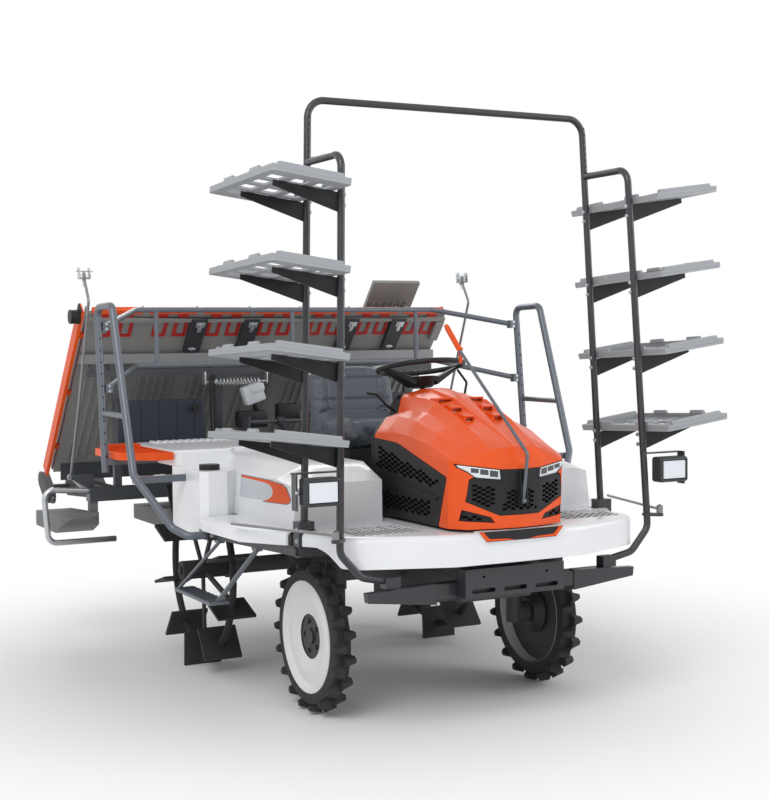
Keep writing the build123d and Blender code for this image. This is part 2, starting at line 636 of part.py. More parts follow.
# outlines on the nose, right half: (X, Z)
NOSE_OPENING = (
    (0, 1073), (94, 1074), (258, 1098), (251, 1083), (200, 1046), (219, 1037), (229, 948), (92, 888),
    (0, 888),
)
NOSE_BACKING = (
    (0, 1070), (92, 1071), (248, 1086), (246, 1076), (226, 1046), (236, 1040), (239, 942), (95, 879),
    (0, 879)
)
NOSE_PANEL = ((0, 1072), (93, 1073), (87, 1030), (190, 1041), (218, 1036), (228, 949), (92, 889), (0, 889))
LAMP_OUTLINE = ((94.5, 1073.5), (256.5, 1097), (250, 1083.5), (199, 1046.5), (191, 1042), (88.5, 1031))
CHIN_OPENING = ((237, 916), (243, 871), (109, 860), (126, 884))
CHIN_BACKING = ((245, 924), (249, 863), (96, 852), (120, 891))
NOSE_WINDOWS = (
    ((104, 1010), (207, 1020), (215, 956), (112, 908)),
    ((126, 880), (233, 910), (238, 874), (116, 864)),
)
NOSE_MIDDLE_WINDOW = ((-76, 996), (76, 996), (88, 900), (-88, 900))
NOSE_CELL = (36.0, 9.0, 12.0, 6.0, 5.6)
# outlines on the sides: (Y from the front axle, Z)
SIDE_OPENING = ((20, 1168), (-218, 1156), (-628, 1043), (-628, 1027), (-568, 851), (-564, 800), (20, 800))
SIDE_PANEL = ((-8, 1165), (-217, 1154), (-626, 1041), (-626, 1028), (-566, 852), (-562, 838), (-8, 838))
SIDE_FLANGE = (
    (-330, 1110), (-376, 1119), (-638, 1046), (-638, 1024), (-578, 848), (-574, 842), (-330, 842)
)
SIDE_WINDOWS = (
    ((-28, 1126), (-80, 1138), (-580, 1026), (-558, 984), (-18, 1036)),
    ((-52, 950), (-538, 934), (-494, 868), (-102, 860)),
)
SIDE_CELL = (54.0, 10.5, 18.5, 9.5, 6.8)
# scoops on the hood: (inner X, outer X, Y from the front axle, Z, rise towards the rear)
LOUVRES = (
    (40.0, 114.0, -296.0, 1323.0, 0.21), (46.0, 104.0, -393.0, 1289.0, 0.36),
    (44.0, 94.0, -485.0, 1255.0, 0.38)
)


def whole(half):
    return list(half) + [(-x, z) for x, z in reversed(half) if x > 0]


def inside(point, outline):
    found = False
    for (x1, z1), (x2, z2) in zip(outline, outline[1:] + outline[:1]):
        if (z1 > point[1]) != (z2 > point[1]) and point[0] < x1 + (point[1] - z1) * (x2 - x1) / (z2 - z1):
            found = not found
    return found

# centres of the honeycomb cells that lie wholly inside a window
def cells(window, cell):
    pitch, row_pitch, half_long, half_flat, half_high = cell
    low_x, high_x = min(x for x, z in window), max(x for x, z in window)
    low_z, high_z = min(z for x, z in window), max(z for x, z in window)
    found = []
    for row in range(int((high_z - low_z) / row_pitch) + 1):
        z = low_z + (row + 0.5) * row_pitch
        for column in range(int((high_x - low_x) / pitch) + 2):
            x = low_x + (column + 0.5 * (row % 2)) * pitch
            corners = [
                (x - half_long, z), (x + half_long, z), (x - half_flat, z - half_high),
                (x + half_flat, z - half_high),
                (x - half_flat, z + half_high), (x + half_flat, z + half_high),
            ]
            if all(inside(corner, tuple(window)) for corner in corners):
                found.append((x, z))
    return found

# everything behind the nose's outer face moved back by a depth
def behind_nose(depth):
    with BuildPart() as block:
        for z in (800.0, 1400.0):
            back = FRONT_AXLE_Y + depth + NOSE_RAKE * (NOSE_TOP_Z - z)
            points = [(x * (1 - 0.0025 * depth), y + back) for x, y in NOSE_PLAN]
            with BuildSketch(Plane.XY.offset(z)):
                with BuildLine():
                    Polyline(*whole(points), close=True)
                make_face()
        loft(ruled=True)
    return block.part


def nose_piece(outline, front, back):
    with BuildPart() as piece:
        with BuildSketch(Plane.XZ.offset(-(FRONT_AXLE_Y - 560))):
            with BuildLine():
                Polyline(*outline, close=True)
            make_face()
        extrude(amount=240)
    return piece.part & behind_nose(front) - behind_nose(back)

with BuildPart() as hood_hollow:
    for number, (y, half) in enumerate(HOOD_SECTIONS):
        reach = 12.0 if number == 0 else 0.0
        points = [(x * (1 - HOOD_WALL / HOOD_HALF), z - HOOD_WALL - 1.0) for x, z in half]
        points.append((HOOD_HALF - HOOD_WALL, HOOD_BASE_Z - 20))
        with BuildSketch(Plane.XZ.offset(-(FRONT_AXLE_Y + y + reach))):
            with BuildLine():
                Polyline(*whole(points), close=True)
            make_face()
    loft(ruled=True)
HOLLOW = hood_hollow.part & behind_nose(HOOD_WALL)
NOSE_OUTER = behind_nose(0.0)
with BuildPart() as hood:
    for y, half in HOOD_SECTIONS:
        with BuildSketch(Plane.XZ.offset(-(FRONT_AXLE_Y + y))):
            with BuildLine():
                Polyline(*whole(half + ((HOOD_HALF, HOOD_BASE_Z),)), close=True)
            make_face()
    loft(ruled=True)
    add(NOSE_OUTER, mode=Mode.INTERSECT)
    add(HOLLOW, mode=Mode.SUBTRACT)
    # openings on the nose and on the sides
    with BuildSketch(Plane.XZ.offset(-(FRONT_AXLE_Y - 630))):
        Polygon(*whole(NOSE_OPENING))
        Polygon(*CHIN_OPENING)
        Polygon(*[(-x, z) for x, z in CHIN_OPENING])
    extrude(amount=160, mode=Mode.SUBTRACT)
    with BuildSketch(Plane.YZ.offset(-300)):
        with Locations((FRONT_AXLE_Y, 0)):
            Polygon(*SIDE_OPENING)
    extrude(amount=600, mode=Mode.SUBTRACT)
    # scoops over slots
    for inner, outer, y, z, rise in LOUVRES:
        for side in (-1, 1):
            with BuildSketch(Plane.YZ.offset(side * (inner + outer) / 2)):
                with Locations((FRONT_AXLE_Y + y, z)):
                    Polygon((0, -7), (0, 20), (64, 64 * rise + 2), (64, 64 * rise - 7))
            extrude(amount=(outer - inner) / 2, both=True)
            with Locations((side * (inner + outer) / 2, FRONT_AXLE_Y + y + 9, z - 2)):
                Box(outer - inner - 12, 20, 30, mode=Mode.SUBTRACT)
    # hinge barrels under the rear edge
    for side in (-1, 1):
        with BuildSketch(Plane.YZ.offset(side * 85 - 15)):
            with Locations((HINGE_Y, HINGE_Z)):
                Circle(11)
                with Locations((0, 9)):
                    Rectangle(14, 18)
                Circle(HINGE_PIN_R + RUNNING_FIT, mode=Mode.SUBTRACT)
        extrude(amount=30)
hood.part.label = "hood"
export_step(hood.part, "parts/hood.step")

# Black panels of the hood: nose panel with its honeycomb, chin grilles, side grilles and marker cheeks
NOSE_PANEL_PART = nose_piece(whole(NOSE_PANEL), 1.5, HOOD_WALL) + nose_piece(
    whole(NOSE_BACKING), HOOD_WALL, 13.0
)
with BuildPart() as hood_grilles:
    add(NOSE_PANEL_PART)
    add(nose_piece(CHIN_BACKING, HOOD_WALL, 13.0))
    add(nose_piece([(-x, z) for x, z in CHIN_BACKING], HOOD_WALL, 13.0))
    for side in (-1, 1):
        with BuildSketch(Plane.YZ.offset(side * (HOOD_HALF + 1))):
            with Locations((FRONT_AXLE_Y, 0)):
                Polygon(*SIDE_PANEL)
        extrude(amount=-side * 15)
        with BuildSketch(Plane.YZ.offset(side * (HOOD_HALF - HOOD_WALL))):
            with Locations((FRONT_AXLE_Y, 0)):
                Polygon(*SIDE_FLANGE)
        extrude(amount=-side * 8)
        # raised rim and middle bar of the side panel
        with BuildSketch(Plane.YZ.offset(side * (HOOD_HALF + 1))):
            with Locations((FRONT_AXLE_Y, 0)):
                Polygon((-40, 1006), (-570, 958), (-548, 944), (-60, 962))
        extrude(amount=side * 5)
    # cheeks and pin for the centre marker
    with BuildSketch(Plane.YZ.offset(-16)):
        with Locations((FRONT_AXLE_Y, 0)):
            Polygon(
                (-748, 920), (MARKER_REACH - 12, 932), (MARKER_REACH - 12, 962), (-778, 1062), (-762, 1064),
                (-750, 960)
            )
    extrude(amount=32)
    with Locations((0, FRONT_AXLE_Y + MARKER_REACH - 10, 1000)):
        Box(20, 52, 170, mode=Mode.SUBTRACT)
    with BuildSketch(Plane.YZ.offset(-15)):
        with Locations((FRONT_AXLE_Y + MARKER_REACH, MARKER_Z)):
            Circle(MARKER_PIN_R)
    extrude(amount=30)
    # honeycomb cells
    for window in SIDE_WINDOWS:
        with BuildSketch(Plane.YZ.offset(-HOOD_HALF - 10)):
            with Locations(*[(FRONT_AXLE_Y + y, z) for y, z in cells(window, SIDE_CELL)]):
                Polygon(
                    (-SIDE_CELL[2], 0), (-SIDE_CELL[3], -SIDE_CELL[4]), (SIDE_CELL[3], -SIDE_CELL[4]),
                    (SIDE_CELL[2], 0),
                    (SIDE_CELL[3], SIDE_CELL[4]), (-SIDE_CELL[3], SIDE_CELL[4]),
                )
        extrude(amount=2 * HOOD_HALF + 20, mode=Mode.SUBTRACT)
    nose_centres = cells(NOSE_MIDDLE_WINDOW, NOSE_CELL)
    for window in NOSE_WINDOWS:
        nose_centres += cells(window, NOSE_CELL) + [(-x, z) for x, z in cells(window, NOSE_CELL)]
    with BuildSketch(Plane.XZ.offset(-(FRONT_AXLE_Y - 560))):
        with Locations(*nose_centres):
            Polygon(
                (-NOSE_CELL[2], 0), (-NOSE_CELL[3], -NOSE_CELL[4]), (NOSE_CELL[3], -NOSE_CELL[4]),
                (NOSE_CELL[2], 0),
                (NOSE_CELL[3], NOSE_CELL[4]), (-NOSE_CELL[3], NOSE_CELL[4]),
            )
    extrude(amount=198, mode=Mode.SUBTRACT)
hood_grilles.part.label = "hood_grilles"
export_step(hood_grilles.part, "parts/hood_grilles.step")

# Headlights: a lens in each upper corner of the nose, seated on the black panel
with BuildPart() as headlights:
    add(nose_piece(LAMP_OUTLINE, 1.0, HOOD_WALL))
    add(nose_piece([(-x, z) for x, z in LAMP_OUTLINE], 1.0, HOOD_WALL))
headlights.part.label = "headlights"
export_step(headlights.part, "parts/headlights.step")

# Dash: panel behind the hood, instrument pod, column, hood hinge lugs, pedals and levers
with BuildPart() as dash_column:
    with BuildSketch(Plane.XZ.offset(-(FRONT_AXLE_Y + DASH_FRONT))):
        with BuildLine():
            Polyline(
                *whole((
                    (0, 1360), (40, 1358), (46, 1354), (112, 1338), (122, 1326), (142, 1258), (198, 1242),
                    (246, 1184),
                    (257, 1160), (257, DECK_TOP),
                )),
                close=True,
            )
        make_face()
    extrude(amount=DASH_FRONT - 38)
    with BuildSketch(Plane.YZ.offset(-125)):
        with Locations((FRONT_AXLE_Y, 0)):
            Polygon((38, DECK_TOP), (112, DECK_TOP), (98, 1180), (114, 1290), (70, 1332), (38, 1345))
    extrude(amount=250)
    # column and shaft of the steering wheel
    column_axis = Plane(
        origin=(0, STEER_Y, STEER_Z), x_dir=(1, 0, 0),
        z_dir=(0, sin(radians(STEER_TILT)), cos(radians(STEER_TILT))),
    )
    with BuildSketch(column_axis.offset(-170)):
        Circle(COLUMN_R)
    extrude(amount=116)
    # hood hinge lugs and pins
    for side in (-1, 1):
        with BuildSketch(Plane.YZ.offset(side * 56 - 6)):
            with Locations((HINGE_Y, HINGE_Z)):
                Circle(11)
            Polygon(
                (HINGE_Y - 8, HINGE_Z - 8), (HINGE_Y + 8, HINGE_Z + 8),
                (FRONT_AXLE_Y + DASH_FRONT, HINGE_Z - 17),
                (FRONT_AXLE_Y + DASH_FRONT, HINGE_Z - 50),
            )
        extrude(amount=12)
        with BuildSketch(Plane.YZ.offset(side * 80 - 22)):
            with Locations((HINGE_Y, HINGE_Z)):
                Circle(HINGE_PIN_R)
        extrude(amount=44)
    # pedals on the driver's right: (pad X, Y, Z, pad width)
    for x, y, z, width in ((-297.0, 182.0, 885.0, 50.0), (-205.0, 96.0, 905.0, 60.0)):
        with BuildLine() as arm:
            Line((x + 46, FRONT_AXLE_Y + 34, z + 105), (x, FRONT_AXLE_Y + y + 4, z + 10))
        with BuildSketch(Plane(origin=arm.line @ 0, z_dir=arm.line % 0)):
            Circle(8)
        sweep()
        with Locations((x, FRONT_AXLE_Y + y, z)):
            Box(width, 14, 80)
    # hand levers beside the wheel
    for points in (
        ((-110, 60, 1262), (-168, 62, 1300), (-216, 64, 1350), (-262, 66, 1357)),
        ((112, 60, 1270), (236, 66, 1330), (252, 70, 1392), (205, 74, 1452)),
    ):
        with BuildLine() as lever:
            FilletPolyline(*[(x, FRONT_AXLE_Y + y, z) for x, y, z in points], radius=14)
        with BuildSketch(Plane(origin=lever.line @ 0, z_dir=lever.line % 0)):
            Circle(5.5)
        sweep()
dash_column.part.label = "dash_column"
export_step(dash_column.part, "parts/dash_column.step")

# Steering wheel: thick rim, deep dished hub and three broad spokes
with BuildPart(column_axis) as steering_wheel:
    Torus(STEER_WHEEL_R, STEER_RIM_R)
    with BuildSketch(column_axis.offset(-92)):
        Circle(46)
    with BuildSketch(column_axis.offset(-50)):
        Circle(76)
    loft()
    for angle in (0, 90, 180):
        turn = radians(angle)
        for_hub = column_axis.from_local_coords((50 * cos(turn), 50 * sin(turn), -72))
        for_rim = column_axis.from_local_coords((STEER_WHEEL_R * cos(turn), STEER_WHEEL_R * sin(turn), -2))
        across = column_axis.from_local_coords((-sin(turn), cos(turn), 0)) - column_axis.origin
        with BuildSketch(Plane(origin=for_hub, x_dir=across, z_dir=for_rim - for_hub)):
            Rectangle(88, 28)
        with BuildSketch(Plane(origin=for_rim, x_dir=across, z_dir=for_rim - for_hub)):
            Rectangle(34, 10)
        loft()
    with BuildSketch(column_axis.offset(-96)):
        Circle(COLUMN_R + RUNNING_FIT)
    extrude(amount=44, mode=Mode.SUBTRACT)
steering_wheel.part.label = "steering_wheel"
export_step(steering_wheel.part, "parts/steering_wheel.step")

# Rack frame: top loop with the rear posts, front posts that curl in to the front beam, tray arms
TRAY_PLANES = []
for tier in range(TRAY_TIERS):
    z = TRAY_TOP_Z - tier * TRAY_PITCH
    rise = radians(TRAY_TILT)
    sag = radians(TRAY_SAG)
    TRAY_PLANES.append(
        Plane(
            origin=(
                rack_x(z) + TRAY_INNER_X - rack_x(TRAY_TOP_Z),
                TRAY_FRONT_Y + rack_y(z) - rack_y(TRAY_TOP_Z), z
            ),
            x_dir=(cos(rise), 0, sin(rise)),
            z_dir=Vector(cos(rise), 0, sin(rise)).cross(Vector(0, cos(sag), sin(sag))),
        )
    )
FOOT_Z = OUTRIGGER_Z + OUTRIGGER_HEIGHT / 2
with BuildPart() as rack_frame:
    with BuildLine() as loop:
        FilletPolyline(
            (-rack_x(FOOT_Z + 5), rack_y(FOOT_Z + 5), FOOT_Z + 5),
            (-rack_x(RACK_TOP), rack_y(RACK_TOP), RACK_TOP),
            (rack_x(RACK_TOP), rack_y(RACK_TOP), RACK_TOP),
            (rack_x(FOOT_Z + 5), rack_y(FOOT_Z + 5), FOOT_Z + 5),
            radius=75,
        )
    with BuildSketch(Plane(origin=loop.line @ 0, z_dir=loop.line % 0)):
        Circle(RACK_TUBE / 2)
    sweep()
    for side in (-1, 1):
        with BuildLine() as front:
            FilletPolyline(
                (side * 515, FRONT_BEAM_Y, 645.0),
                (side * 650, FRONT_AXLE_Y - 624, 672.0),
                (side * 739, FRONT_AXLE_Y - 622, 770.0),
                (side * rack_x(RACK_SHOULDER), rack_y(RACK_SHOULDER) - RACK_DEPTH, RACK_SHOULDER),
                (side * rack_x(RACK_SHOULDER), rack_y(RACK_SHOULDER) - 4, RACK_SHOULDER),
                radius=60,
            )
        with BuildSketch(Plane(origin=front.line @ 0, z_dir=front.line % 0)):
            Circle(RACK_TUBE / 2)
        sweep()
        with Locations((side * rack_x(FOOT_Z), rack_y(FOOT_Z), FOOT_Z + 50)):
            Box(70, 56, 100)
        with Locations((side * 520, FRONT_BEAM_Y, FRONT_BEAM_Z + 30 + 22)):
            Box(66, 50, 44)
    # tray arms, tapered towards their tips, on both posts of each side
    for tray in TRAY_PLANES:
        z = tray.origin.Z
        for post_y in (rack_y(z), rack_y(z) - RACK_DEPTH):
            arm_y = post_y - tray.origin.Y
            root = rack_x(z) - tray.origin.X
            for mirrored in (False, True):
                with BuildSketch(
                    Plane(
                        origin=tray.from_local_coords((0, arm_y - 3, 0)), x_dir=tray.x_dir, z_dir=(0, -1, 0)
                    )
                ):
                    Polygon((root - 4, -78), (root - 4, -1), (root + 285, -1), (root + 285, -22))
                arm = extrude(amount=-6, mode=Mode.PRIVATE)
                if mirrored:
                    arm = arm.mirror(Plane.YZ)
                add(arm)
    # lamp arms and side marker brackets on the front posts
    for side in (-1, 1):
        with Locations((side * 828, F - 605, 1089)):
            Box(204, 30, 6)
        with Locations((side * 925, F - 620, 1021)):
            Box(6, 44, 142)
        with BuildSketch(Plane.XY.offset(820)):
            Polygon(
                (side * 722, F - 606), (side * 752, F - 606), (side * 789, F - 650), (side * 763, F - 672),
                (side * 722, F - 636)
            )
            with Locations((side * SIDE_MARKER_X, F + SIDE_MARKER_REACH)):
                Circle(16)
        extrude(amount=12)
        with BuildSketch(Plane.XY.offset(820)):
            with Locations((side * SIDE_MARKER_X, F + SIDE_MARKER_REACH)):
                Circle(HINGE_PIN_R)
        extrude(amount=50)
rack_frame.part.label = "rack_frame"
export_step(rack_frame.part, "parts/rack_frame.step")

# Trays for spare seedling mats, four on each side
with BuildPart() as trays_left:
    for tray in TRAY_PLANES:
        with BuildSketch(tray):
            with Locations((TRAY_WIDTH / 2, TRAY_LENGTH / 2)):
                RectangleRounded(TRAY_WIDTH, TRAY_LENGTH, 18)
        extrude(amount=TRAY_FLOOR)
        with BuildSketch(tray.offset(TRAY_FLOOR)):
            with Locations((TRAY_WIDTH / 2, 30), (TRAY_WIDTH / 2, TRAY_LENGTH - 30)):
                Rectangle(TRAY_WIDTH - 8, 52)
            with Locations((9, TRAY_LENGTH / 2), (TRAY_WIDTH - 9, TRAY_LENGTH / 2)):
                Rectangle(12, TRAY_LENGTH - 12)
        extrude(amount=TRAY_LIP - TRAY_FLOOR)
        with BuildSketch(tray.offset(TRAY_LIP - 0.01)):
            with Locations((TRAY_WIDTH / 2, 24), (TRAY_WIDTH / 2, TRAY_LENGTH - 24)):
                Rectangle(TRAY_WIDTH - 60, 30)
            with Locations(
                (12, 190), (12, TRAY_LENGTH - 190), (TRAY_WIDTH - 12, 190),
                (TRAY_WIDTH - 12, TRAY_LENGTH - 190)
            ):
                Rectangle(16, 90)
        extrude(amount=14, taper=12)
        with BuildSketch(tray):
            with Locations((TRAY_WIDTH / 2, TRAY_LENGTH / 2)):
                with GridLocations(98, 128, 3, 4):
                    Rectangle(62, 92)
        extrude(amount=TRAY_FLOOR, mode=Mode.SUBTRACT)
trays_left.part.label = "trays_left"
export_step(trays_left.part, "parts/trays_left.step")

with BuildPart() as trays_right:
    mirror(trays_left.part, about=Plane.YZ)
trays_right.part.label = "trays_right"
export_step(trays_right.part, "parts/trays_right.step")

# Grab rails beside the rear deck, each a hoop with a rung and a foot on the rear outrigger
HOOP_POINTS = (
    (REAR_OUTRIGGER_HALF, REAR_OUTRIGGER_Y, OUTRIGGER_Z), (985, REAR_OUTRIGGER_Y, OUTRIGGER_Z),
    (1034, REAR_OUTRIGGER_Y + 65, OUTRIGGER_Z + 32), (HOOP_X, F + 568, 1004),
    (HOOP_X, F + 838, 1762), (HOOP_X, F + 1068, 1757), (HOOP_X, F + 985, 985),
)
with BuildPart() as side_rail_left:
    with BuildLine() as hoop:
        FilletPolyline(*HOOP_POINTS, radius=45)
    with BuildSketch(Plane(origin=hoop.line @ 0, z_dir=hoop.line % 0)):
        Circle(HOOP_TUBE / 2)
    sweep()
    with BuildLine() as rung:
        Line((HOOP_X, F + 662, 1260), (HOOP_X, F + 1012, 1262))
    with BuildSketch(Plane(origin=rung.line @ 0, z_dir=rung.line % 0)):
        Circle(13)
    sweep()
    # arms to the tower and to the rear deck: (inner X, Y, Z)
    for x, y, z in ((TOWER_SIDE, F + 585, 980), (REAR_DECK_SIDE, F + 985, 1034)):
        with Locations(((x + HOOP_X - 4) / 2, y, z)):
            Box(HOOP_X - 4 - x, 34, 30)
side_rail_left.part.label = "side_rail_left"
export_step(side_rail_left.part, "parts/side_rail_left.step")

with BuildPart() as side_rail_right:
    mirror(side_rail_left.part, about=Plane.YZ)
side_rail_right.part.label = "side_rail_right"
export_step(side_rail_right.part, "parts/side_rail_right.step")

# Handrail behind the rear deck, clamped to both hoops: (end Y, end Z, middle Z)
with BuildPart() as rear_handrail:
    for y_end, z_end, z_mid in ((F + 1057, 1667.0, 1754.0), (F + 1027, 1376.0, 1473.0)):
        with BuildLine() as bar:
            FilletPolyline(
                (-1139, y_end, z_end), (-863, F + 1440, z_mid), (863, F + 1440, z_mid),
                (1139, y_end, z_end), radius=60
            )
        with BuildSketch(Plane(origin=bar.line @ 0, z_dir=bar.line % 0)):
            Circle(HANDRAIL_TUBE / 2)
        sweep()
        clamp_inner = 1118.0
        clamp_outer = HOOP_X - HOOP_TUBE / 2
        for side in (-1, 1):
            with Locations((side * (clamp_inner + clamp_outer) / 2, y_end, z_end)):
                Box(clamp_outer - clamp_inner, 36, 42)
    for x in (-755, 0, 752):
        with BuildSketch(Plane.XY.offset(1473)):
            with Locations((x, F + 1440)):
                Circle(12)
        extrude(amount=281)
rear_handrail.part.label = "rear_handrail"
export_step(rear_handrail.part, "parts/rear_handrail.step")

# Orange steps beside the rear deck, with a raised rim and tread ribs
STEP_PLAN = (
    (REAR_DECK_SIDE, F + 745), (1010, F + 735), (1146, F + 860), (1146, F + 1230),
    (REAR_DECK_SIDE, F + 1230)
)
with BuildPart() as side_steps:
    for side in (-1, 1):
        with BuildSketch(Plane.XY.offset(1049)):
            with BuildLine():
                Polyline(*[(side * x, y) for x, y in STEP_PLAN], close=True)
            make_face()
        extrude(amount=34)
        with BuildSketch(Plane.XY.offset(1075)):
            with BuildLine():
                Polyline(*[(side * x, y) for x, y in STEP_PLAN], close=True)
            make_face()
            offset(amount=-14)
        extrude(amount=10, mode=Mode.SUBTRACT)
        with Locations((side * 1022, F + 1010, 1077)):
            with GridLocations(1, 46, 1, 6):
                Box(150, 14, 8)
        with Locations((side * 1040, F + 1165, 1087)):
            Box(170, 100, 28)
side_steps.part.label = "side_steps"
export_step(side_steps.part, "parts/side_steps.step")

# Access steps hung from the side sills
SILL_BOTTOM_Z = OUTRIGGER_Z - 16
with BuildPart() as access_steps:
    for side in (-1, 1):
        with Locations((side * 850, F + 603, STEP_TREAD_Z)):
            Box(92, 463, 14)
            with GridLocations(1, 46, 1, 9):
                Box(84, 12, 22)
        # (top X, Y, low X, Y, radius)
        for x_top, y_top, x_low, y_low, radius in (
            (814, F + 20, 850, F + 400, 11.0), (862, F + 330, 882, F + 820, 8.0)
        ):
            with BuildLine() as bar:
                Line((side * x_top, y_top, SILL_BOTTOM_Z - 10), (side * x_low, y_low, STEP_TREAD_Z))
            with BuildSketch(Plane(origin=bar.line @ 0, z_dir=bar.line % 0)):
                Circle(radius)
            sweep()
            with Locations((side * x_top, y_top, SILL_BOTTOM_Z - 7)):
                Box(30, 50, 14)
access_steps.part.label = "access_steps"
export_step(access_steps.part, "parts/access_steps.step")

# Work lamps outboard of the front posts: rounded housing, recessed lens and trunnion bolt
with BuildPart() as work_lamps:
    for side in (-1, 1):
        with Locations((side * 835, F - 655, 1020)):
            Box(150, 70, 108)
    fillet(edges(), 12)
    for side in (-1, 1):
        with Locations((side * 835, F - 690, 1020)):
            Box(126, 20, 84, mode=Mode.SUBTRACT)
        with Locations((side * 835, F - 682, 1020)):
            Box(118, 8, 76)
        with BuildSketch(Plane.YZ.offset(side * 908)):
            with Locations((F - 640, 1020)):
                Circle(9)
        extrude(amount=side * 14)
work_lamps.part.label = "work_lamps"
export_step(work_lamps.part, "parts/work_lamps.step")

# Link pair of the lift
with BuildPart() as lift_link_lower:
    for x in (-150, 134):
        with BuildSketch(Plane.YZ.offset(x)):
            with Locations((LINK_Y + LINK_RUN / 2, LINK_LOW_Z + LINK_RISE / 2)):
                Rectangle(LINK_LENGTH, 34, rotation=LINK_ANGLE)
            with Locations((LINK_Y, LINK_LOW_Z), (HITCH_Y, HITCH_LOW_Z)):
                Circle(26)
            with Locations((LINK_Y, LINK_LOW_Z), (HITCH_Y, HITCH_LOW_Z)):
                Circle(LINK_PIN_R + LINK_CLEAR, mode=Mode.SUBTRACT)
        extrude(amount=16)
    with Locations(((0, LINK_Y + LINK_RUN / 2, LINK_LOW_Z + LINK_RISE / 2))):
        Cylinder(14, 284, rotation=(0, 90, 0))
lift_link_lower.part.label = "lift_link_lower"
export_step(lift_link_lower.part, "parts/lift_link_lower.step")

with BuildPart() as lift_link_upper:
    with BuildSketch(Plane.YZ.offset(-20)):
        with Locations((LINK_Y + LINK_RUN / 2, LINK_LOW_Z + LINK_SPACING + LINK_RISE / 2)):
            Rectangle(LINK_LENGTH, 30, rotation=LINK_ANGLE)
        with Locations((LINK_Y, LINK_LOW_Z + LINK_SPACING), (HITCH_Y, HITCH_HIGH_Z)):
            Circle(24)
        with Locations((LINK_Y, LINK_LOW_Z + LINK_SPACING)):
            Circle(LINK_PIN_R + LINK_CLEAR, mode=Mode.SUBTRACT)
        with Locations((HITCH_Y, HITCH_HIGH_Z)):
            Circle(LINK_PIN_R + 2.0, mode=Mode.SUBTRACT)
    extrude(amount=40)
lift_link_upper.part.label = "lift_link_upper"
export_step(lift_link_upper.part, "parts/lift_link_upper.step")

# Planting frame: cross beam, hitch plates with pins, posts, guide rails with rollers, end guards
GUIDE_RAIL_TOP = GUIDE_RAIL_Z + 18.0
ROLLER_TOP = 1479.5
with BuildPart() as planting_frame:
    with Locations((0, BEAM_Y, BEAM_Z)):
        Box(2 * BEAM_HALF, BEAM_SIDE, BEAM_SIDE)
    for x in (-200, 188):
        with BuildSketch(Plane.YZ.offset(x)):
            Polygon(
                (HITCH_Y - 34, HITCH_LOW_Z - 34), (BEAM_Y + 30, BEAM_Z - 30), (BEAM_Y + 30, BEAM_Z + 40),
                (HITCH_Y + 60, HITCH_HIGH_Z + 34), (HITCH_Y - 34, HITCH_HIGH_Z + 34),
            )
        extrude(amount=12)
    for z in (HITCH_LOW_Z, HITCH_HIGH_Z):
        with BuildSketch(Plane.YZ.offset(-195)):
            with Locations((HITCH_Y, z)):
                Circle(LINK_PIN_R)
        extrude(amount=390)
    # posts with a roller on top of each
    for x in (-870, -300, 300, 870):
        with Locations((x, BEAM_Y, (BEAM_Z + GUIDE_RAIL_Z) / 2)):
            Box(40, 30, GUIDE_RAIL_Z - BEAM_Z)
        with BuildSketch(Plane.XY.offset(GUIDE_RAIL_TOP - 4)):
            with Locations((x, BEAM_Y + 12)):
                RectangleRounded(64, 30, 8)
        extrude(amount=ROLLER_TOP - GUIDE_RAIL_TOP + 4)
    with Locations((0, BEAM_Y + 5, GUIDE_RAIL_Z)):
        Box(2 * BEAM_HALF, 40, 36)
    # lower guide rail on the planting cases
    with BuildSketch(Plane.YZ.offset(-BEAM_HALF + 10)):
        Polygon((F + 2330, 829), (F + 2342, 829), (F + 2342, 907), (F + 2330, 921))
    extrude(amount=2 * BEAM_HALF - 20)
    for side in (-1, 1):
        with BuildLine() as guard:
            FilletPolyline(
                (side * (BEAM_HALF - 10), BEAM_Y, 818), (side * 1262, BEAM_Y, 838),
                (side * 1240, BEAM_Y, 560),
                (side * 885, BEAM_Y, 560), radius=48,
            )
        with BuildSketch(Plane(origin=guard.line @ 0, z_dir=guard.line % 0)):
            Circle(15)
        sweep()
        # foot and pin of the line marker
        with BuildSketch(Plane.XZ.offset(-(BEAM_Y + 20))):
            Polygon(
                (side * (BEAM_HALF - 40), BEAM_Z + 5), (side * BEAM_HALF, BEAM_Z + 5),
                (side * MARKER_FOOT_X, MARKER_FOOT_Z - 13), (side * MARKER_FOOT_X, MARKER_FOOT_Z + 13),
                (side * (BEAM_HALF - 40), MARKER_FOOT_Z + 13),
            )
            with Locations((side * MARKER_FOOT_X, MARKER_FOOT_Z)):
                Circle(13)
        extrude(amount=-30)
        with BuildSketch(Plane.XZ.offset(-(BEAM_Y + 20))):
            with Locations((side * MARKER_FOOT_X, MARKER_FOOT_Z)):
                Circle(MARKER_FOOT_PIN_R)
        extrude(amount=-72)
planting_frame.part.label = "planting_frame"
export_step(planting_frame.part, "parts/planting_frame.step")

# Planting cases: one cast arm for each pair of rows, with a bore for its rotor shaft
CASE_X = (-900.0, -300.0, 300.0, 900.0)
with BuildPart() as planting_cases:
    for x in CASE_X:
        with BuildSketch(Plane.YZ.offset(x - 32)):
            Polygon(
                (BEAM_Y + BEAM_SIDE / 2, BEAM_Z - 34), (ROTOR_Y, ROTOR_Z - 52), (ROTOR_Y, ROTOR_Z + 52),
                (BEAM_Y + BEAM_SIDE / 2, BEAM_Z + 34),
            )
            with Locations((ROTOR_Y, ROTOR_Z)):
                Circle(52)
                Circle(16 + RUNNING_FIT, mode=Mode.SUBTRACT)
        extrude(amount=64)
planting_cases.part.label = "planting_cases"
export_step(planting_cases.part, "parts/planting_cases.step")

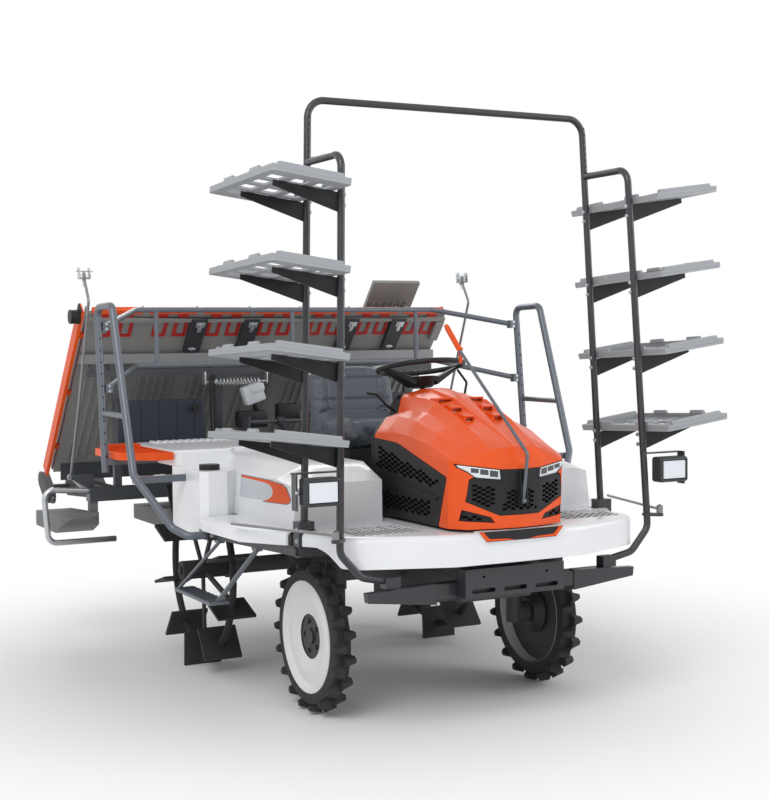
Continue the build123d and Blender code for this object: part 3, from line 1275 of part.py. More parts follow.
# Planting rotors: a shaft through each case with a rotary arm and its claws on either side
with BuildPart() as planting_rotors:
    for x in CASE_X:
        with BuildSketch(Plane.YZ.offset(x - 170)):
            with Locations((ROTOR_Y, ROTOR_Z)):
                Circle(16)
        extrude(amount=340)
        for row in (x - ROW_PITCH / 2, x + ROW_PITCH / 2):
            with BuildSketch(Plane.YZ.offset(row - 24)):
                with Locations((ROTOR_Y, ROTOR_Z)):
                    SlotOverall(230, 86, rotation=35)
            extrude(amount=48)
            with BuildSketch(Plane.YZ.offset(row - 8)):
                with Locations((ROTOR_Y, ROTOR_Z)):
                    with PolarLocations(0, 2, start_angle=35):
                        Polygon((60, 30), (150, -6), (ROTOR_R, -34), (158, -52), (120, -30), (70, -20))
            extrude(amount=16)
planting_rotors.part.label = "planting_rotors"
export_step(planting_rotors.part, "parts/planting_rotors.step")

# Floats, hung under the beam: (X, width, front Y from the rear axle)
FLOATS = (
    (-1085.0, 200.0, 600.0), (-520.0, 230.0, 520.0), (0.0, 400.0, 520.0), (520.0, 230.0, 520.0),
    (1085.0, 200.0, 600.0)
)
FLOAT_BACK = 1215.0
FLOAT_PARTS = []
for x, width, front in FLOATS:
    with BuildPart() as one_float:
        with BuildSketch(Plane.YZ.offset(x - width / 2)):
            with Locations((REAR_AXLE_Y, FLOAT_BOTTOM_Z)):
                Polygon(
                    (front, 88), (front + 30, 53), (front + 160, 0), (FLOAT_BACK - 35, 0), (FLOAT_BACK, 38),
                    (FLOAT_BACK - 35, 78), (front + 200, 98), (front + 30, 110),
                )
        extrude(amount=width)
        with BuildSketch(Plane.XY.offset(FLOAT_BOTTOM_Z - 10)):
            with Locations((x, REAR_AXLE_Y + (front + FLOAT_BACK) / 2)):
                RectangleRounded(width, FLOAT_BACK - front, width * 0.3)
        extrude(amount=140, mode=Mode.INTERSECT)
    FLOAT_PARTS.append(one_float.part)
with BuildPart() as floats:
    for one in FLOAT_PARTS:
        add(one)
    beam_bottom = BEAM_Z - BEAM_SIDE / 2
    for x, width, front in FLOATS:
        with Locations(
            (min(max(x, -BEAM_HALF + 25), BEAM_HALF - 25), BEAM_Y, (beam_bottom + FLOAT_BOTTOM_Z + 92) / 2)
        ):
            Box(40, 50, beam_bottom - FLOAT_BOTTOM_Z - 92)
floats.part.label = "floats"
export_step(floats.part, "parts/floats.step")

# Mud guards in front of the posts, with upright ribs
with BuildPart() as mud_guards:
    for side in (-1, 1):
        with Locations((side * 644, BEAM_Y - 15 - 27, 1172.5)):
            Box(496, 54, 225)
    fillet(edges().filter_by(Axis.Z), 16)
    for side in (-1, 1):
        with Locations((side * 644, BEAM_Y - 15 - 54, 1172.5)):
            with GridLocations(98, 1, 5, 1):
                Box(26, 8, 205)
mud_guards.part.label = "mud_guards"
export_step(mud_guards.part, "parts/mud_guards.step")

# Seedling platform: seven bays in one sloping plate that slides sideways on the guide rails
slope = radians(PLATFORM_TILT)
platform_under = Plane(
    origin=(0, PLATFORM_TOP_Y, PLATFORM_TOP_Z), x_dir=(1, 0, 0), z_dir=(0, -sin(slope), -cos(slope))
)
BAYS = ROWS - 1
PLATFORM_WIDTH = BAYS * ROW_PITCH
PLATE_MIDDLE = -(PLATFORM_LENGTH + TOP_RAIL_LOW) / 2
PLATE_LENGTH = PLATFORM_LENGTH - TOP_RAIL_LOW
with BuildPart() as seedling_platform:
    with BuildSketch(platform_under):
        with Locations((0, PLATE_MIDDLE)):
            Rectangle(PLATFORM_WIDTH, PLATE_LENGTH)
    extrude(amount=-PLATFORM_THICK)
    with BuildSketch(platform_under.offset(-PLATFORM_THICK)):
        with Locations((0, PLATE_MIDDLE)):
            with GridLocations(ROW_PITCH, 1, BAYS + 1, 1):
                Rectangle(12, PLATE_LENGTH)
    extrude(amount=-36)
    # beam across the top of the underside, and the channel that runs on the rollers
    with BuildSketch(platform_under):
        with Locations((0, -81)):
            Rectangle(PLATFORM_WIDTH, 22)
    extrude(amount=20)
    with BuildSketch(Plane.YZ.offset(-PLATFORM_WIDTH / 2)):
        Polygon((F + 1770, 1480), (F + 1770, 1530), (F + 1806, 1530), (F + 1850, 1480))
    extrude(amount=PLATFORM_WIDTH)
    # ribs under every bay
    with BuildSketch(platform_under):
        with Locations(
            *[(-PLATFORM_WIDTH / 2 + (i + 0.5) * ROW_PITCH, -(400 + 1080) / 2) for i in range(BAYS)]
        ):
            with GridLocations(44, 1, 5, 1):
                Rectangle(8, 680)
    extrude(amount=10)
    # brackets between the bays and the plate at the left-hand end
    with BuildSketch(platform_under):
        with Locations(*[(x * ROW_PITCH, -185) for x in (-1.5, -0.5, 1.5, 2.5)]):
            Rectangle(90, 230)
        with Locations((PLATFORM_WIDTH / 2 - 25, -165)):
            Rectangle(50, 140)
    extrude(amount=25)
seedling_platform.part.label = "seedling_platform"
export_step(seedling_platform.part, "parts/seedling_platform.step")

# Orange top rails, the guard on the right-hand side and the shift motor on it
GUARD_X = -PLATFORM_WIDTH / 2 - 41.0
with BuildPart() as platform_guards:
    with BuildSketch(platform_under.offset(8)):
        with Locations((0, -TOP_RAIL_LOW + 12)):
            with GridLocations(ROW_PITCH, 1, BAYS, 1):
                RectangleRounded(266, 24, 8)
    extrude(amount=-PLATFORM_THICK - 8)
    with BuildSketch(platform_under.offset(25)):
        with Locations((GUARD_X, -(PLATFORM_LENGTH + 15) / 2)):
            RectangleRounded(18, PLATFORM_LENGTH - 15, 8)
    extrude(amount=-70)
    for along in (-200.0, -600.0, -1000.0):
        with BuildSketch(platform_under.offset(-2)):
            with Locations(((GUARD_X - PLATFORM_WIDTH / 2) / 2, along)):
                Rectangle(-GUARD_X - PLATFORM_WIDTH / 2, 30)
        extrude(amount=-18)
    with BuildSketch(Plane.YZ.offset(GUARD_X - 54)):
        with Locations((F + 1640, 1724)):
            Circle(36)
    extrude(amount=50)
platform_guards.part.label = "platform_guards"
export_step(platform_guards.part, "parts/platform_guards.step")

# Line markers, folded upright at both ends of the planting section
with BuildPart() as line_marker_left:
    with BuildLine() as rod:
        FilletPolyline(
            (MARKER_FOOT_X, BEAM_Y + 70, MARKER_FOOT_Z), (MARKER_FOOT_X, BEAM_Y - 110, 1275),
            (MARKER_FOOT_X, BEAM_Y - 325, 1800), (MARKER_FOOT_X, BEAM_Y - 250, 1920), radius=30,
        )
    with BuildSketch(Plane(origin=rod.line @ 0, z_dir=rod.line % 0)):
        Circle(7)
    sweep()
    with BuildSketch(Plane.XZ.offset(-(BEAM_Y + 55))):
        with Locations((MARKER_FOOT_X, MARKER_FOOT_Z)):
            Circle(16)
    extrude(amount=-30)
    with BuildSketch(Plane.XZ.offset(-(BEAM_Y + 40))):
        with Locations((MARKER_FOOT_X, MARKER_FOOT_Z)):
            Circle(MARKER_FOOT_PIN_R + RUNNING_FIT)
    extrude(amount=-60, mode=Mode.SUBTRACT)
    # scribing disc at the tip
    with BuildSketch(Plane(origin=(MARKER_FOOT_X, BEAM_Y - 250, 1920), z_dir=(1, 0, 0))):
        Circle(26)
    extrude(amount=4, both=True)
line_marker_left.part.label = "line_marker_left"
export_step(line_marker_left.part, "parts/line_marker_left.step")

with BuildPart() as line_marker_right:
    mirror(line_marker_left.part, about=Plane.YZ)
line_marker_right.part.label = "line_marker_right"
export_step(line_marker_right.part, "parts/line_marker_right.step")

# Red feed belts across the top of every bay, with their frames and tabs on the underside
BELT_CENTRES = [
    (-PLATFORM_WIDTH / 2 + i * ROW_PITCH + across) for i in range(BAYS) for across in (97.5, 209.5)
]
with BuildPart() as feed_belts:
    with BuildSketch(platform_under.offset(-PLATFORM_THICK)):
        with Locations(*[(x, -160) for x in BELT_CENTRES]):
            Rectangle(75, 190)
    extrude(amount=-14)
    with BuildSketch(platform_under):
        with Locations(*[(x, -146) for x in BELT_CENTRES]):
            Rectangle(75, 108)
        with Locations(*[(x, -136) for x in BELT_CENTRES]):
            Rectangle(39, 96, mode=Mode.SUBTRACT)
        with Locations(*[(x, -57) for x in BELT_CENTRES]):
            Rectangle(56, 24)
    extrude(amount=6)
feed_belts.part.label = "feed_belts"
export_step(feed_belts.part, "parts/feed_belts.step")

# Eighth bay, folded over the left-hand end of the platform
FOLDED_TOP = 20.0
FOLDED_LENGTH = PLATFORM_LENGTH - 220.0
FOLDED_LIFT = 190.0
with BuildPart() as folded_section:
    with BuildSketch(platform_under.offset(-FOLDED_LIFT)):
        with Locations((790, FOLDED_TOP - FOLDED_LENGTH / 2)):
            Rectangle(ROW_PITCH, FOLDED_LENGTH)
    extrude(amount=-PLATFORM_THICK)
    with BuildSketch(platform_under.offset(-FOLDED_LIFT)):
        with Locations((790, FOLDED_TOP - FOLDED_LENGTH / 2 - 60)):
            with GridLocations(44, 1, 6, 1):
                Rectangle(8, FOLDED_LENGTH - 160)
    extrude(amount=10)
    for along in (-160.0, -860.0):
        with BuildSketch(platform_under.offset(-PLATFORM_THICK)):
            with Locations((900, along)):
                Rectangle(24, 40)
        extrude(amount=-(FOLDED_LIFT - PLATFORM_THICK))
folded_section.part.label = "folded_section"
export_step(folded_section.part, "parts/folded_section.step")

# Centre marker: a rod hinged on the front of the hood, with a thicker sleeve at its tip
with BuildPart() as center_marker:
    with BuildLine() as rod:
        FilletPolyline(
            (0, F + MARKER_REACH, MARKER_Z), (0, F - 808, 1135), (0, F - 295, 1540), (0, F - 179, 1649),
            radius=22
        )
    with BuildSketch(Plane(origin=rod.line @ 0, z_dir=rod.line % 0)):
        Circle(7)
    sweep()
    with BuildLine() as sleeve:
        Line((0, F - 295, 1540), (0, F - 179, 1649))
    with BuildSketch(Plane(origin=sleeve.line @ 0, z_dir=sleeve.line % 0)):
        Circle(9.5)
    sweep()
    with Locations((0, F + MARKER_REACH, MARKER_Z)):
        Cylinder(11, 18, rotation=(0, 90, 0))
        Cylinder(MARKER_PIN_R + RUNNING_FIT, 40, rotation=(0, 90, 0), mode=Mode.SUBTRACT)
center_marker.part.label = "center_marker"
export_step(center_marker.part, "parts/center_marker.step")

# Side markers: thin rods on the front posts, swung back along the machine
with BuildPart() as side_marker_left:
    with BuildLine() as rod:
        Line((SIDE_MARKER_X, F + SIDE_MARKER_REACH, 850), (955, F - 50, 842))
    with BuildSketch(Plane(origin=rod.line @ 0, z_dir=rod.line % 0)):
        Circle(6)
    sweep()
    with Locations((SIDE_MARKER_X, F + SIDE_MARKER_REACH, 850)):
        Cylinder(14, 32)
        Cylinder(HINGE_PIN_R + RUNNING_FIT, 60, mode=Mode.SUBTRACT)
side_marker_left.part.label = "side_marker_left"
export_step(side_marker_left.part, "parts/side_marker_left.step")

with BuildPart() as side_marker_right:
    mirror(side_marker_left.part, about=Plane.YZ)
side_marker_right.part.label = "side_marker_right"
export_step(side_marker_right.part, "parts/side_marker_right.step")
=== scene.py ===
# %% [markdown]
# # A riding rice transplanter, dressed for its portrait
# The frame holds the machine's solids, one node for each real piece, and this script gives them
# their looks: paint, plastic, rubber and cloth, and the pieces too thin or too fine for the solids.
# We start by loading the frame.

# %% Load the frame
import bpy
import bmesh
import json
import math
from mathutils import Matrix, Vector
from mathutils.bvhtree import BVHTree


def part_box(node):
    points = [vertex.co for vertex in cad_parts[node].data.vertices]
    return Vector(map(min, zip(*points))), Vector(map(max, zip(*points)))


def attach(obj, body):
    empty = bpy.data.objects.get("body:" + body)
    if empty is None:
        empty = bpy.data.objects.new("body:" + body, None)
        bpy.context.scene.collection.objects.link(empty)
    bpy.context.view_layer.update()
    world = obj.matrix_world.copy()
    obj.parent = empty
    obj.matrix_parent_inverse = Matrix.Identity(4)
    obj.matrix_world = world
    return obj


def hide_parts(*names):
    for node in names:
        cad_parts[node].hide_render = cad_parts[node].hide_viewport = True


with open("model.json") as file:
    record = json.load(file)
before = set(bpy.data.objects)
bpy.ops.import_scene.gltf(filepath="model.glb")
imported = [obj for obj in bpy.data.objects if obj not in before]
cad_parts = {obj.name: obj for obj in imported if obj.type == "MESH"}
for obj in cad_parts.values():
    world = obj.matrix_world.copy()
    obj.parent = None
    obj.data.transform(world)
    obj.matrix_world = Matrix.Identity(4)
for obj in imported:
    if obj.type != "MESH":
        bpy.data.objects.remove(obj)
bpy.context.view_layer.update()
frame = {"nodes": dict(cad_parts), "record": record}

# %% [markdown]
# ## Places that the pieces share
# The small pieces sit on the solids, and their places could be typed in world metres. Here they
# are counted from the front axle, as on a maker's drawing, so that a number says how far a piece
# lies behind the axle, and everything follows the wheels if they move.

# %% Places from the frame
def middle(node):
    low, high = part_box(node)
    return (Vector(low) + Vector(high)) / 2


FRONT_AXLE_Y = middle("front_rim_left").y
REAR_AXLE_Y = middle("rear_wheel_left").y


def spot(x, behind, z):
    """A place that lies so far behind the front axle."""
    return Vector((x, FRONT_AXLE_Y + behind, z))


print("front axle at", round(FRONT_AXLE_Y, 4), "rear axle at", round(REAR_AXLE_Y, 4))

# %% [markdown]
# ## Materials
# A machine like this has few finishes: powder-coated tube, moulded plastic, bare and painted cast
# iron, rubber. Each could be built by hand in the shader editor. One function makes them all
# instead: a Principled shader, with a soft, large variation of the colour and a fine bump, both
# on Object coordinates so that they stay on the piece.

# %% A paint maker
BUMP_HEIGHT = 0.0006


def finish_of(name, colour, roughness, metallic=0.0, coat=0.0, mottling=0.06, mottle_scale=6.0,
              grain=0.0, grain_scale=400.0, gloss=0.5):
    material = bpy.data.materials.new(name)
    material.use_nodes = True
    nodes, links = material.node_tree.nodes, material.node_tree.links
    shader = nodes["Principled BSDF"]
    shader.inputs["Metallic"].default_value = metallic
    shader.inputs["Roughness"].default_value = roughness
    shader.inputs["Coat Weight"].default_value = coat
    shader.inputs["Specular IOR Level"].default_value = gloss
    shader.inputs["Coat Roughness"].default_value = 0.12
    place = nodes.new("ShaderNodeTexCoord")
    clouds = nodes.new("ShaderNodeTexNoise")
    clouds.inputs["Scale"].default_value = mottle_scale
    clouds.inputs["Detail"].default_value = 4.0
    tint = nodes.new("ShaderNodeMix")
    tint.data_type = "RGBA"
    tint.inputs["A"].default_value = (*[c * (1.0 - mottling) for c in colour], 1.0)
    tint.inputs["B"].default_value = (*[min(1.0, c * (1.0 + mottling)) for c in colour], 1.0)
    links.new(place.outputs["Object"], clouds.inputs["Vector"])
    links.new(clouds.outputs["Fac"], tint.inputs["Factor"])
    links.new(tint.outputs["Result"], shader.inputs["Base Color"])
    if grain:
        fine = nodes.new("ShaderNodeTexNoise")
        fine.inputs["Scale"].default_value = grain_scale
        bump = nodes.new("ShaderNodeBump")
        bump.inputs["Strength"].default_value = grain
        bump.inputs["Distance"].default_value = BUMP_HEIGHT
        links.new(place.outputs["Object"], fine.inputs["Vector"])
        links.new(fine.outputs["Fac"], bump.inputs["Height"])
        links.new(bump.outputs["Normal"], shader.inputs["Normal"])
    return material


# %% [markdown]
# ## The machine's finishes
# Every finish is a row: its colour, its roughness, and what sets it apart, such as the grain of
# moulded plastic or the clear coat on the hood. A table is easier to compare than many materials,
# and two finishes that share the orange can't drift apart.

# %% Table of finishes
ORANGE = (0.80, 0.090, 0.008)
FINISH_TABLE = {
    "frame_grey": ((0.045, 0.050, 0.058), 0.42, dict(coat=0.2, grain=0.10)),
    "dark_metal": ((0.030, 0.032, 0.036), 0.5, dict(grain=0.15)),
    "cast_grey": ((0.055, 0.056, 0.058), 0.62, dict(grain=0.5, grain_scale=250.0)),
    "white_deck": ((0.80, 0.815, 0.84), 0.32, dict(coat=0.25, mottling=0.015, grain=0.04)),
    "light_plastic": ((0.50, 0.52, 0.55), 0.5, dict(grain=0.1)),
    "orange_hood": (ORANGE, 0.33, dict(coat=0.12, mottling=0.03, gloss=0.32)),
    "black_plastic": ((0.014, 0.0145, 0.016), 0.5, dict(grain=0.2, gloss=0.3)),
    "seat_vinyl": ((0.075, 0.085, 0.105), 0.48, dict(grain=0.3, grain_scale=700.0)),
    "tyre_rubber": ((0.022, 0.022, 0.023), 0.75, dict(grain=0.4)),
    "white_rim": ((0.78, 0.78, 0.77), 0.35, dict(coat=0.2, mottling=0.02)),
    "galvanised": ((0.13, 0.145, 0.17), 0.38, dict(metallic=0.3, grain=0.08)),
    "lens": ((0.75, 0.79, 0.84), 0.12, dict(coat=0.6, mottling=0.02)),
    "grey_plastic": ((0.15, 0.152, 0.155), 0.6, dict(grain=0.2)),
    "platform_grey": ((0.24, 0.238, 0.23), 0.5, dict(grain=0.1)),
    "red_belt": ((0.42, 0.012, 0.010), 0.55, dict(grain=0.2)),
    "orange_plastic": (ORANGE, 0.42, dict(mottling=0.03, gloss=0.3)),
    "rod_steel": ((0.24, 0.245, 0.25), 0.35, dict(metallic=0.6)),
    "zinc": ((0.52, 0.54, 0.56), 0.30,
             dict(metallic=0.85, mottling=0.10, mottle_scale=30.0, grain=0.1)),
    "mud_guard_navy": ((0.018, 0.023, 0.036), 0.42, dict(coat=0.15, grain=0.12)),
    "tray_grey": ((0.33, 0.345, 0.365), 0.55, dict(grain=0.25, grain_scale=500.0)),
    "rack_black": ((0.020, 0.022, 0.027), 0.40, dict(coat=0.25, grain=0.10)),
    "lamp_dark": ((0.03, 0.035, 0.045), 0.12, dict(coat=0.8)),
    "lamp_white": ((0.92, 0.94, 0.96), 0.2, dict(coat=0.6, mottling=0.01)),
    "foil_grey": ((0.16, 0.17, 0.19), 0.4, dict(mottling=0.02)),
    "panel_grey": ((0.56, 0.585, 0.62), 0.35, dict(coat=0.2, mottling=0.02)),
    "channel_grey": ((0.22, 0.225, 0.235), 0.4, dict(metallic=0.4, grain=0.1)),
    "grip_grey": ((0.26, 0.255, 0.25), 0.75, dict(grain=0.5, grain_scale=900.0)),
}
FINISHES = {
    name: finish_of(name, colour, roughness, **extras)
    for name, (colour, roughness, extras) in FINISH_TABLE.items()
}
print(len(FINISHES), "finishes")

# %% [markdown]
# ## Dressing the solids
# The record says which material slot each node belongs to, so most nodes take the finish of that
# name. A few share a slot with others but look different on the machine, as the black rack does
# beside the grey rails, and they are named one by one.

# %% Give every node its finish
OWN_FINISH = {
    "mud_guards": "mud_guard_navy",
    "trays_left": "tray_grey",
    "trays_right": "tray_grey",
    "rack_frame": "rack_black",
    "chassis_frame": "rack_black",
    "center_marker": "galvanised",
}
slots = {part["node"]: part["material_slot"] for part in frame["record"]["subparts"]}
for node, piece in frame["nodes"].items():
    piece.data.materials.clear()
    piece.data.materials.append(FINISHES[OWN_FINISH.get(node, slots[node])])
print(len(slots), "nodes dressed")

# %% [markdown]
# ## Shading of the solids
# Rolled and moulded faces should look round and pressed edges crisp, but the solids arrive as
# loose triangles. Their meshes could be welded and smoothed, yet the solids are to be left alone.
# So a small node tree works as a modifier: it welds the triangles where they meet, smooths every
# face, and keeps an edge sharp only where its two faces meet at more than a set angle.

# %% Round faces, crisp edges
SAME_POINT = 0.00001
SHARP_FROM = math.radians(33.0)
PANEL_SHARP_FROM = math.radians(13.0)


def crisp_edges_tree(name, sharp_from):
    tree = bpy.data.node_groups.new(name, "GeometryNodeTree")
    for in_out in ("INPUT", "OUTPUT"):
        tree.interface.new_socket("Geometry", in_out=in_out, socket_type="NodeSocketGeometry")
    make = tree.nodes.new
    start, end = make("NodeGroupInput"), make("NodeGroupOutput")
    weld = make("GeometryNodeMergeByDistance")
    weld.inputs["Distance"].default_value = SAME_POINT
    drop = make("GeometryNodeRemoveAttribute")
    drop.inputs["Name"].default_value = "custom_normal"
    soft_edges, sharp_edges, soft_faces = (make("GeometryNodeSetShadeSmooth") for _ in range(3))
    soft_edges.domain = sharp_edges.domain = "EDGE"
    sharp_edges.inputs["Shade Smooth"].default_value = False
    angle = make("GeometryNodeInputMeshEdgeAngle")
    test = make("FunctionNodeCompare")
    test.data_type, test.operation = "FLOAT", "GREATER_THAN"
    test.inputs["B"].default_value = sharp_from
    chain = (start, weld, drop, soft_edges, sharp_edges, soft_faces, end)
    for before, after in zip(chain, chain[1:]):
        tree.links.new(before.outputs["Geometry"], after.inputs["Geometry"])
    tree.links.new(angle.outputs["Unsigned Angle"], test.inputs["A"])
    tree.links.new(test.outputs["Result"], sharp_edges.inputs["Selection"])
    return tree


CRISP_EDGES = crisp_edges_tree("crisp_edges", SHARP_FROM)
CRISP_PANELS = crisp_edges_tree("crisp_panels", PANEL_SHARP_FROM)
for node, piece in frame["nodes"].items():
    shading = piece.modifiers.new("crisp_edges", "NODES")
    shading.node_group = CRISP_PANELS if node == "hood" else CRISP_EDGES
    piece.modifiers.new("even_shading", "WEIGHTED_NORMAL").keep_sharp = True
print("edges stay sharp from", round(math.degrees(SHARP_FROM)), "degrees, on the hood from",
      round(math.degrees(PANEL_SHARP_FROM)))

# %% [markdown]
# ## Colours on parts of a solid
# A wheel's rim is a white disc with a dark hub, all in one casting, and the faces that look in
# towards the machine are dark grey: partly the rim's own dark inner face, partly painted shade for
# the shadow on the wheel's inner side. It could be cut into three meshes, but then the pieces would
# no longer be the real ones. Instead its faces are told apart by where they lie and which way they
# look, and some get a second finish.

# %% A second finish on some faces
FRONT_WHEEL_R = middle("front_rim_left").z
HUB_EDGE = 0.101
LOOKS_INWARDS = -0.25


def repaint(node, finish, chosen):
    mesh = frame["nodes"][node].data
    mesh.materials.append(FINISHES[finish])
    place = len(mesh.materials) - 1
    count = 0
    for face in mesh.polygons:
        if chosen(face.center, face.normal):
            face.material_index = place
            count += 1
    print(node, "has", count, "faces of", finish)


def on_hub(at):
    return math.hypot(at.y - FRONT_AXLE_Y, at.z - FRONT_WHEEL_R) < HUB_EDGE


for side, node in ((-1, "front_rim_right"), (1, "front_rim_left")):
    repaint(node, "dark_metal", lambda at, way: on_hub(at))
    # Inward-facing faces get dark grey, partly the rim's own inner colour and partly painted shade for
    # the shadow on the wheel's inner side.
    repaint(node, "cast_grey", lambda at, way: not on_hub(at) and side * way.x < LOOKS_INWARDS)

# %% [markdown]
# ## The platform's slope
# The seedling platform is a set of grey trays on a slope of 49 degrees, seven of its bays open.
# Places on it are easier to give along the slope and out from its back than in world metres, so
# two directions and one function turn the first kind into the second.

# %% Places on the platform
PLATFORM_TILT = math.radians(49.0)
PLATFORM_TOP = spot(0.0, 1.592, 1.775)
UP_SLOPE = Vector((0.0, -math.cos(PLATFORM_TILT), math.sin(PLATFORM_TILT)))
UNDER = Vector((0.0, -math.sin(PLATFORM_TILT), -math.cos(PLATFORM_TILT)))
ROW_PITCH = 0.300
BRACKET_ROWS = [ROW_PITCH * step for step in (-1.5, -0.5, 1.5, 2.5)]


def on_platform(across, along, out):
    return PLATFORM_TOP + Vector((across, 0.0, 0.0)) + UP_SLOPE * along + UNDER * out


print(len(BRACKET_ROWS), "brackets at", [round(x, 3) for x in BRACKET_ROWS])

# %% [markdown]
# ## Colours of the planting end
# Black brackets stand on the platform's back, the guide rail is bare grey steel, the feed motor
# is black, and the guard tubes at the sides are zinc-plated. Each is one solid with its carrier,
# so each is found by its place.

# %% Second finishes of the platform, its guards and the frame
SHEET_BACK = 0.0045
BRACKET_FOOT, BRACKET_HEAD, BRACKET_HALF = -0.305, -0.065, 0.047
RAIL_FRONT, RAIL_BACK = FRONT_AXLE_Y + 1.768, FRONT_AXLE_Y + 1.852
RAIL_LOW, RAIL_HIGH = 1.478, 1.532
MOTOR_X, MOTOR_BACK, MOTOR_LOW = -1.093, FRONT_AXLE_Y + 1.68, 1.683
GUARD_TUBE_X, GUARD_TUBE_TOP = 1.035, 0.861


def on_bracket(at, way):
    from_top = at - PLATFORM_TOP
    beside = any(abs(at.x - x) < BRACKET_HALF for x in BRACKET_ROWS)
    along = from_top.dot(UP_SLOPE)
    return from_top.dot(UNDER) > SHEET_BACK and BRACKET_FOOT < along < BRACKET_HEAD and beside


def on_guide_rail(at, way):
    inside = RAIL_LOW < at.z < RAIL_HIGH and RAIL_FRONT < at.y < RAIL_BACK
    return inside and abs(way.x) < 0.5 and (way.y < -0.9 or way.z > 0.9)


def on_motor(at, way):
    return at.x < MOTOR_X and at.y < MOTOR_BACK and at.z > MOTOR_LOW


def on_guard_tube(at, way):
    return abs(at.x) > GUARD_TUBE_X and at.z < GUARD_TUBE_TOP


repaint("seedling_platform", "dark_metal", on_bracket)
repaint("seedling_platform", "channel_grey", on_guide_rail)
repaint("platform_guards", "black_plastic", on_motor)
repaint("planting_frame", "zinc", on_guard_tube)

# %% [markdown]
# ## Colours of the front end
# The centre marker ends in an orange sleeve, the rear deck carries a black filler cap, the lamps
# have a pale lens in front, a black plate lies in the white nose, and the tray arms are black
# plastic. They are found in the same way.

# %% Second finishes of the marker, decks, lamps and rack
SLEEVE_FOOT = 1.537
CAP_PLACE, CAP_RADIUS, CAP_FOOT = spot(-0.850, 0.470, 1.044), 0.048, 1.0205
LENS_FRONT, LENS_BACK = FRONT_AXLE_Y - 0.6875, FRONT_AXLE_Y - 0.684
NOSE_FRONT = FRONT_AXLE_Y - 0.7615
PLATE_HALF, PLATE_LOW, PLATE_HIGH = 0.2, 0.7905, 0.8305
ARM_INNER, ARM_LOW = 0.72, 1.10


def on_cap(at, way):
    return at.z > CAP_FOOT and (at.xy - CAP_PLACE.xy).length < CAP_RADIUS


def on_nose_plate(at, way):
    inside = abs(at.x) < PLATE_HALF and PLATE_LOW < at.z < PLATE_HIGH and at.y < NOSE_FRONT
    return inside and way.y < -0.8


repaint("center_marker", "orange_plastic", lambda at, way: at.z > SLEEVE_FOOT)
repaint("rear_deck", "black_plastic", on_cap)
repaint("work_lamps", "lens", lambda at, way: way.y < -0.9 and LENS_FRONT < at.y < LENS_BACK)
repaint("floor_deck", "black_plastic", on_nose_plate)
repaint("rack_frame", "black_plastic",
        lambda at, way: abs(way.y) > 0.95 and abs(at.x) > ARM_INNER and at.z > ARM_LOW)

# %% [markdown]
# ## Tools for the small pieces
# Bars, blocks and bolts come back many times. They could be Blender's own primitives, one object
# each, but a bolt that is an object of its own is clutter. So each has a small helper that adds it
# to one bmesh, and the whole piece then gets its finish and the body that carries it. Its faces
# are smoothed, with sharp edges kept, as on the solids.

# %% Bars and blocks
def facing(direction):
    return Vector(direction).to_track_quat("Z", "Y").to_matrix().to_4x4()


def add_bar(form, start, end, radius, sides=12):
    start, end = Vector(start), Vector(end)
    place = Matrix.Translation((start + end) / 2) @ facing(end - start)
    bmesh.ops.create_cone(form, cap_ends=True, segments=sides, radius1=radius, radius2=radius,
                          depth=(end - start).length, matrix=place)


def add_block(form, centre, size, turn=None, edge=0.0):
    stretch = Matrix.Diagonal((*size, 1.0))
    place = Matrix.Translation(centre) @ (turn or Matrix.Identity(4)) @ stretch
    made = bmesh.ops.create_cube(form, size=1.0, matrix=place)
    if edge:
        edges = list({edge_of for vert in made["verts"] for edge_of in vert.link_edges})
        bmesh.ops.bevel(form, geom=edges, offset=edge, offset_type="OFFSET", affect="EDGES",
                        segments=2, profile=0.5, material=-1)


# %% Bolts: a washer and a hexagonal head
WASHER_SHARE, HEAD_SHARE = 1.35, 0.8
WASHER_SUNK, WASHER_PROUD = 0.002, 0.0015


def add_bolt(form, place, outwards, size=0.007):
    place, outwards = Vector(place), Vector(outwards).normalized()
    washer_back, washer_front = place - outwards * WASHER_SUNK, place + outwards * WASHER_PROUD
    add_bar(form, washer_back, washer_front, size * WASHER_SHARE, 16)
    add_bar(form, place, place + outwards * size * HEAD_SHARE, size, 6)


# %% From a bmesh to a piece of the machine
def finished(name, form, finish, body):
    bmesh.ops.recalc_face_normals(form, faces=form.faces[:])
    mesh = bpy.data.meshes.new(name)
    form.to_mesh(mesh)
    form.free()
    mesh.materials.append(FINISHES[finish])
    for face in mesh.polygons:
        face.use_smooth = True
    mesh.set_sharp_from_angle(angle=SHARP_FROM)
    piece = bpy.data.objects.new(name, mesh)
    bpy.context.scene.collection.objects.link(piece)
    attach(piece, body)
    print(name, "has", len(mesh.polygons), "faces")
    return piece


# %% [markdown]
# ## Bolts of the tray rack
# Every tray arm is bolted to its post, and the posts' feet and the outriggers are bolted to the
# frame. The posts lean back and in a little, so the bolts' places follow the posts' own line
# instead of a typed list.

# %% Line of the rack posts
RACK_TIERS = [2.170 - 0.327 * tier for tier in range(4)]
POST_RADIUS = 0.015
POST_TOP_Z, POST_TOP_X, POST_TOP_BEHIND = 2.6, 0.6725, -0.241
POST_RAKE, POST_SPLAY, FRONT_POST_STEP = 0.027, 0.0361, 0.313


def post_at(side, z, front):
    y = FRONT_AXLE_Y + POST_TOP_BEHIND + POST_RAKE * (z - POST_TOP_Z)
    if front:
        y -= FRONT_POST_STEP
    return Vector((side * (POST_TOP_X + POST_SPLAY * (POST_TOP_Z - z)), y, z))


print("lowest tray meets the post at", [round(v, 3) for v in post_at(1, RACK_TIERS[-1], False)])

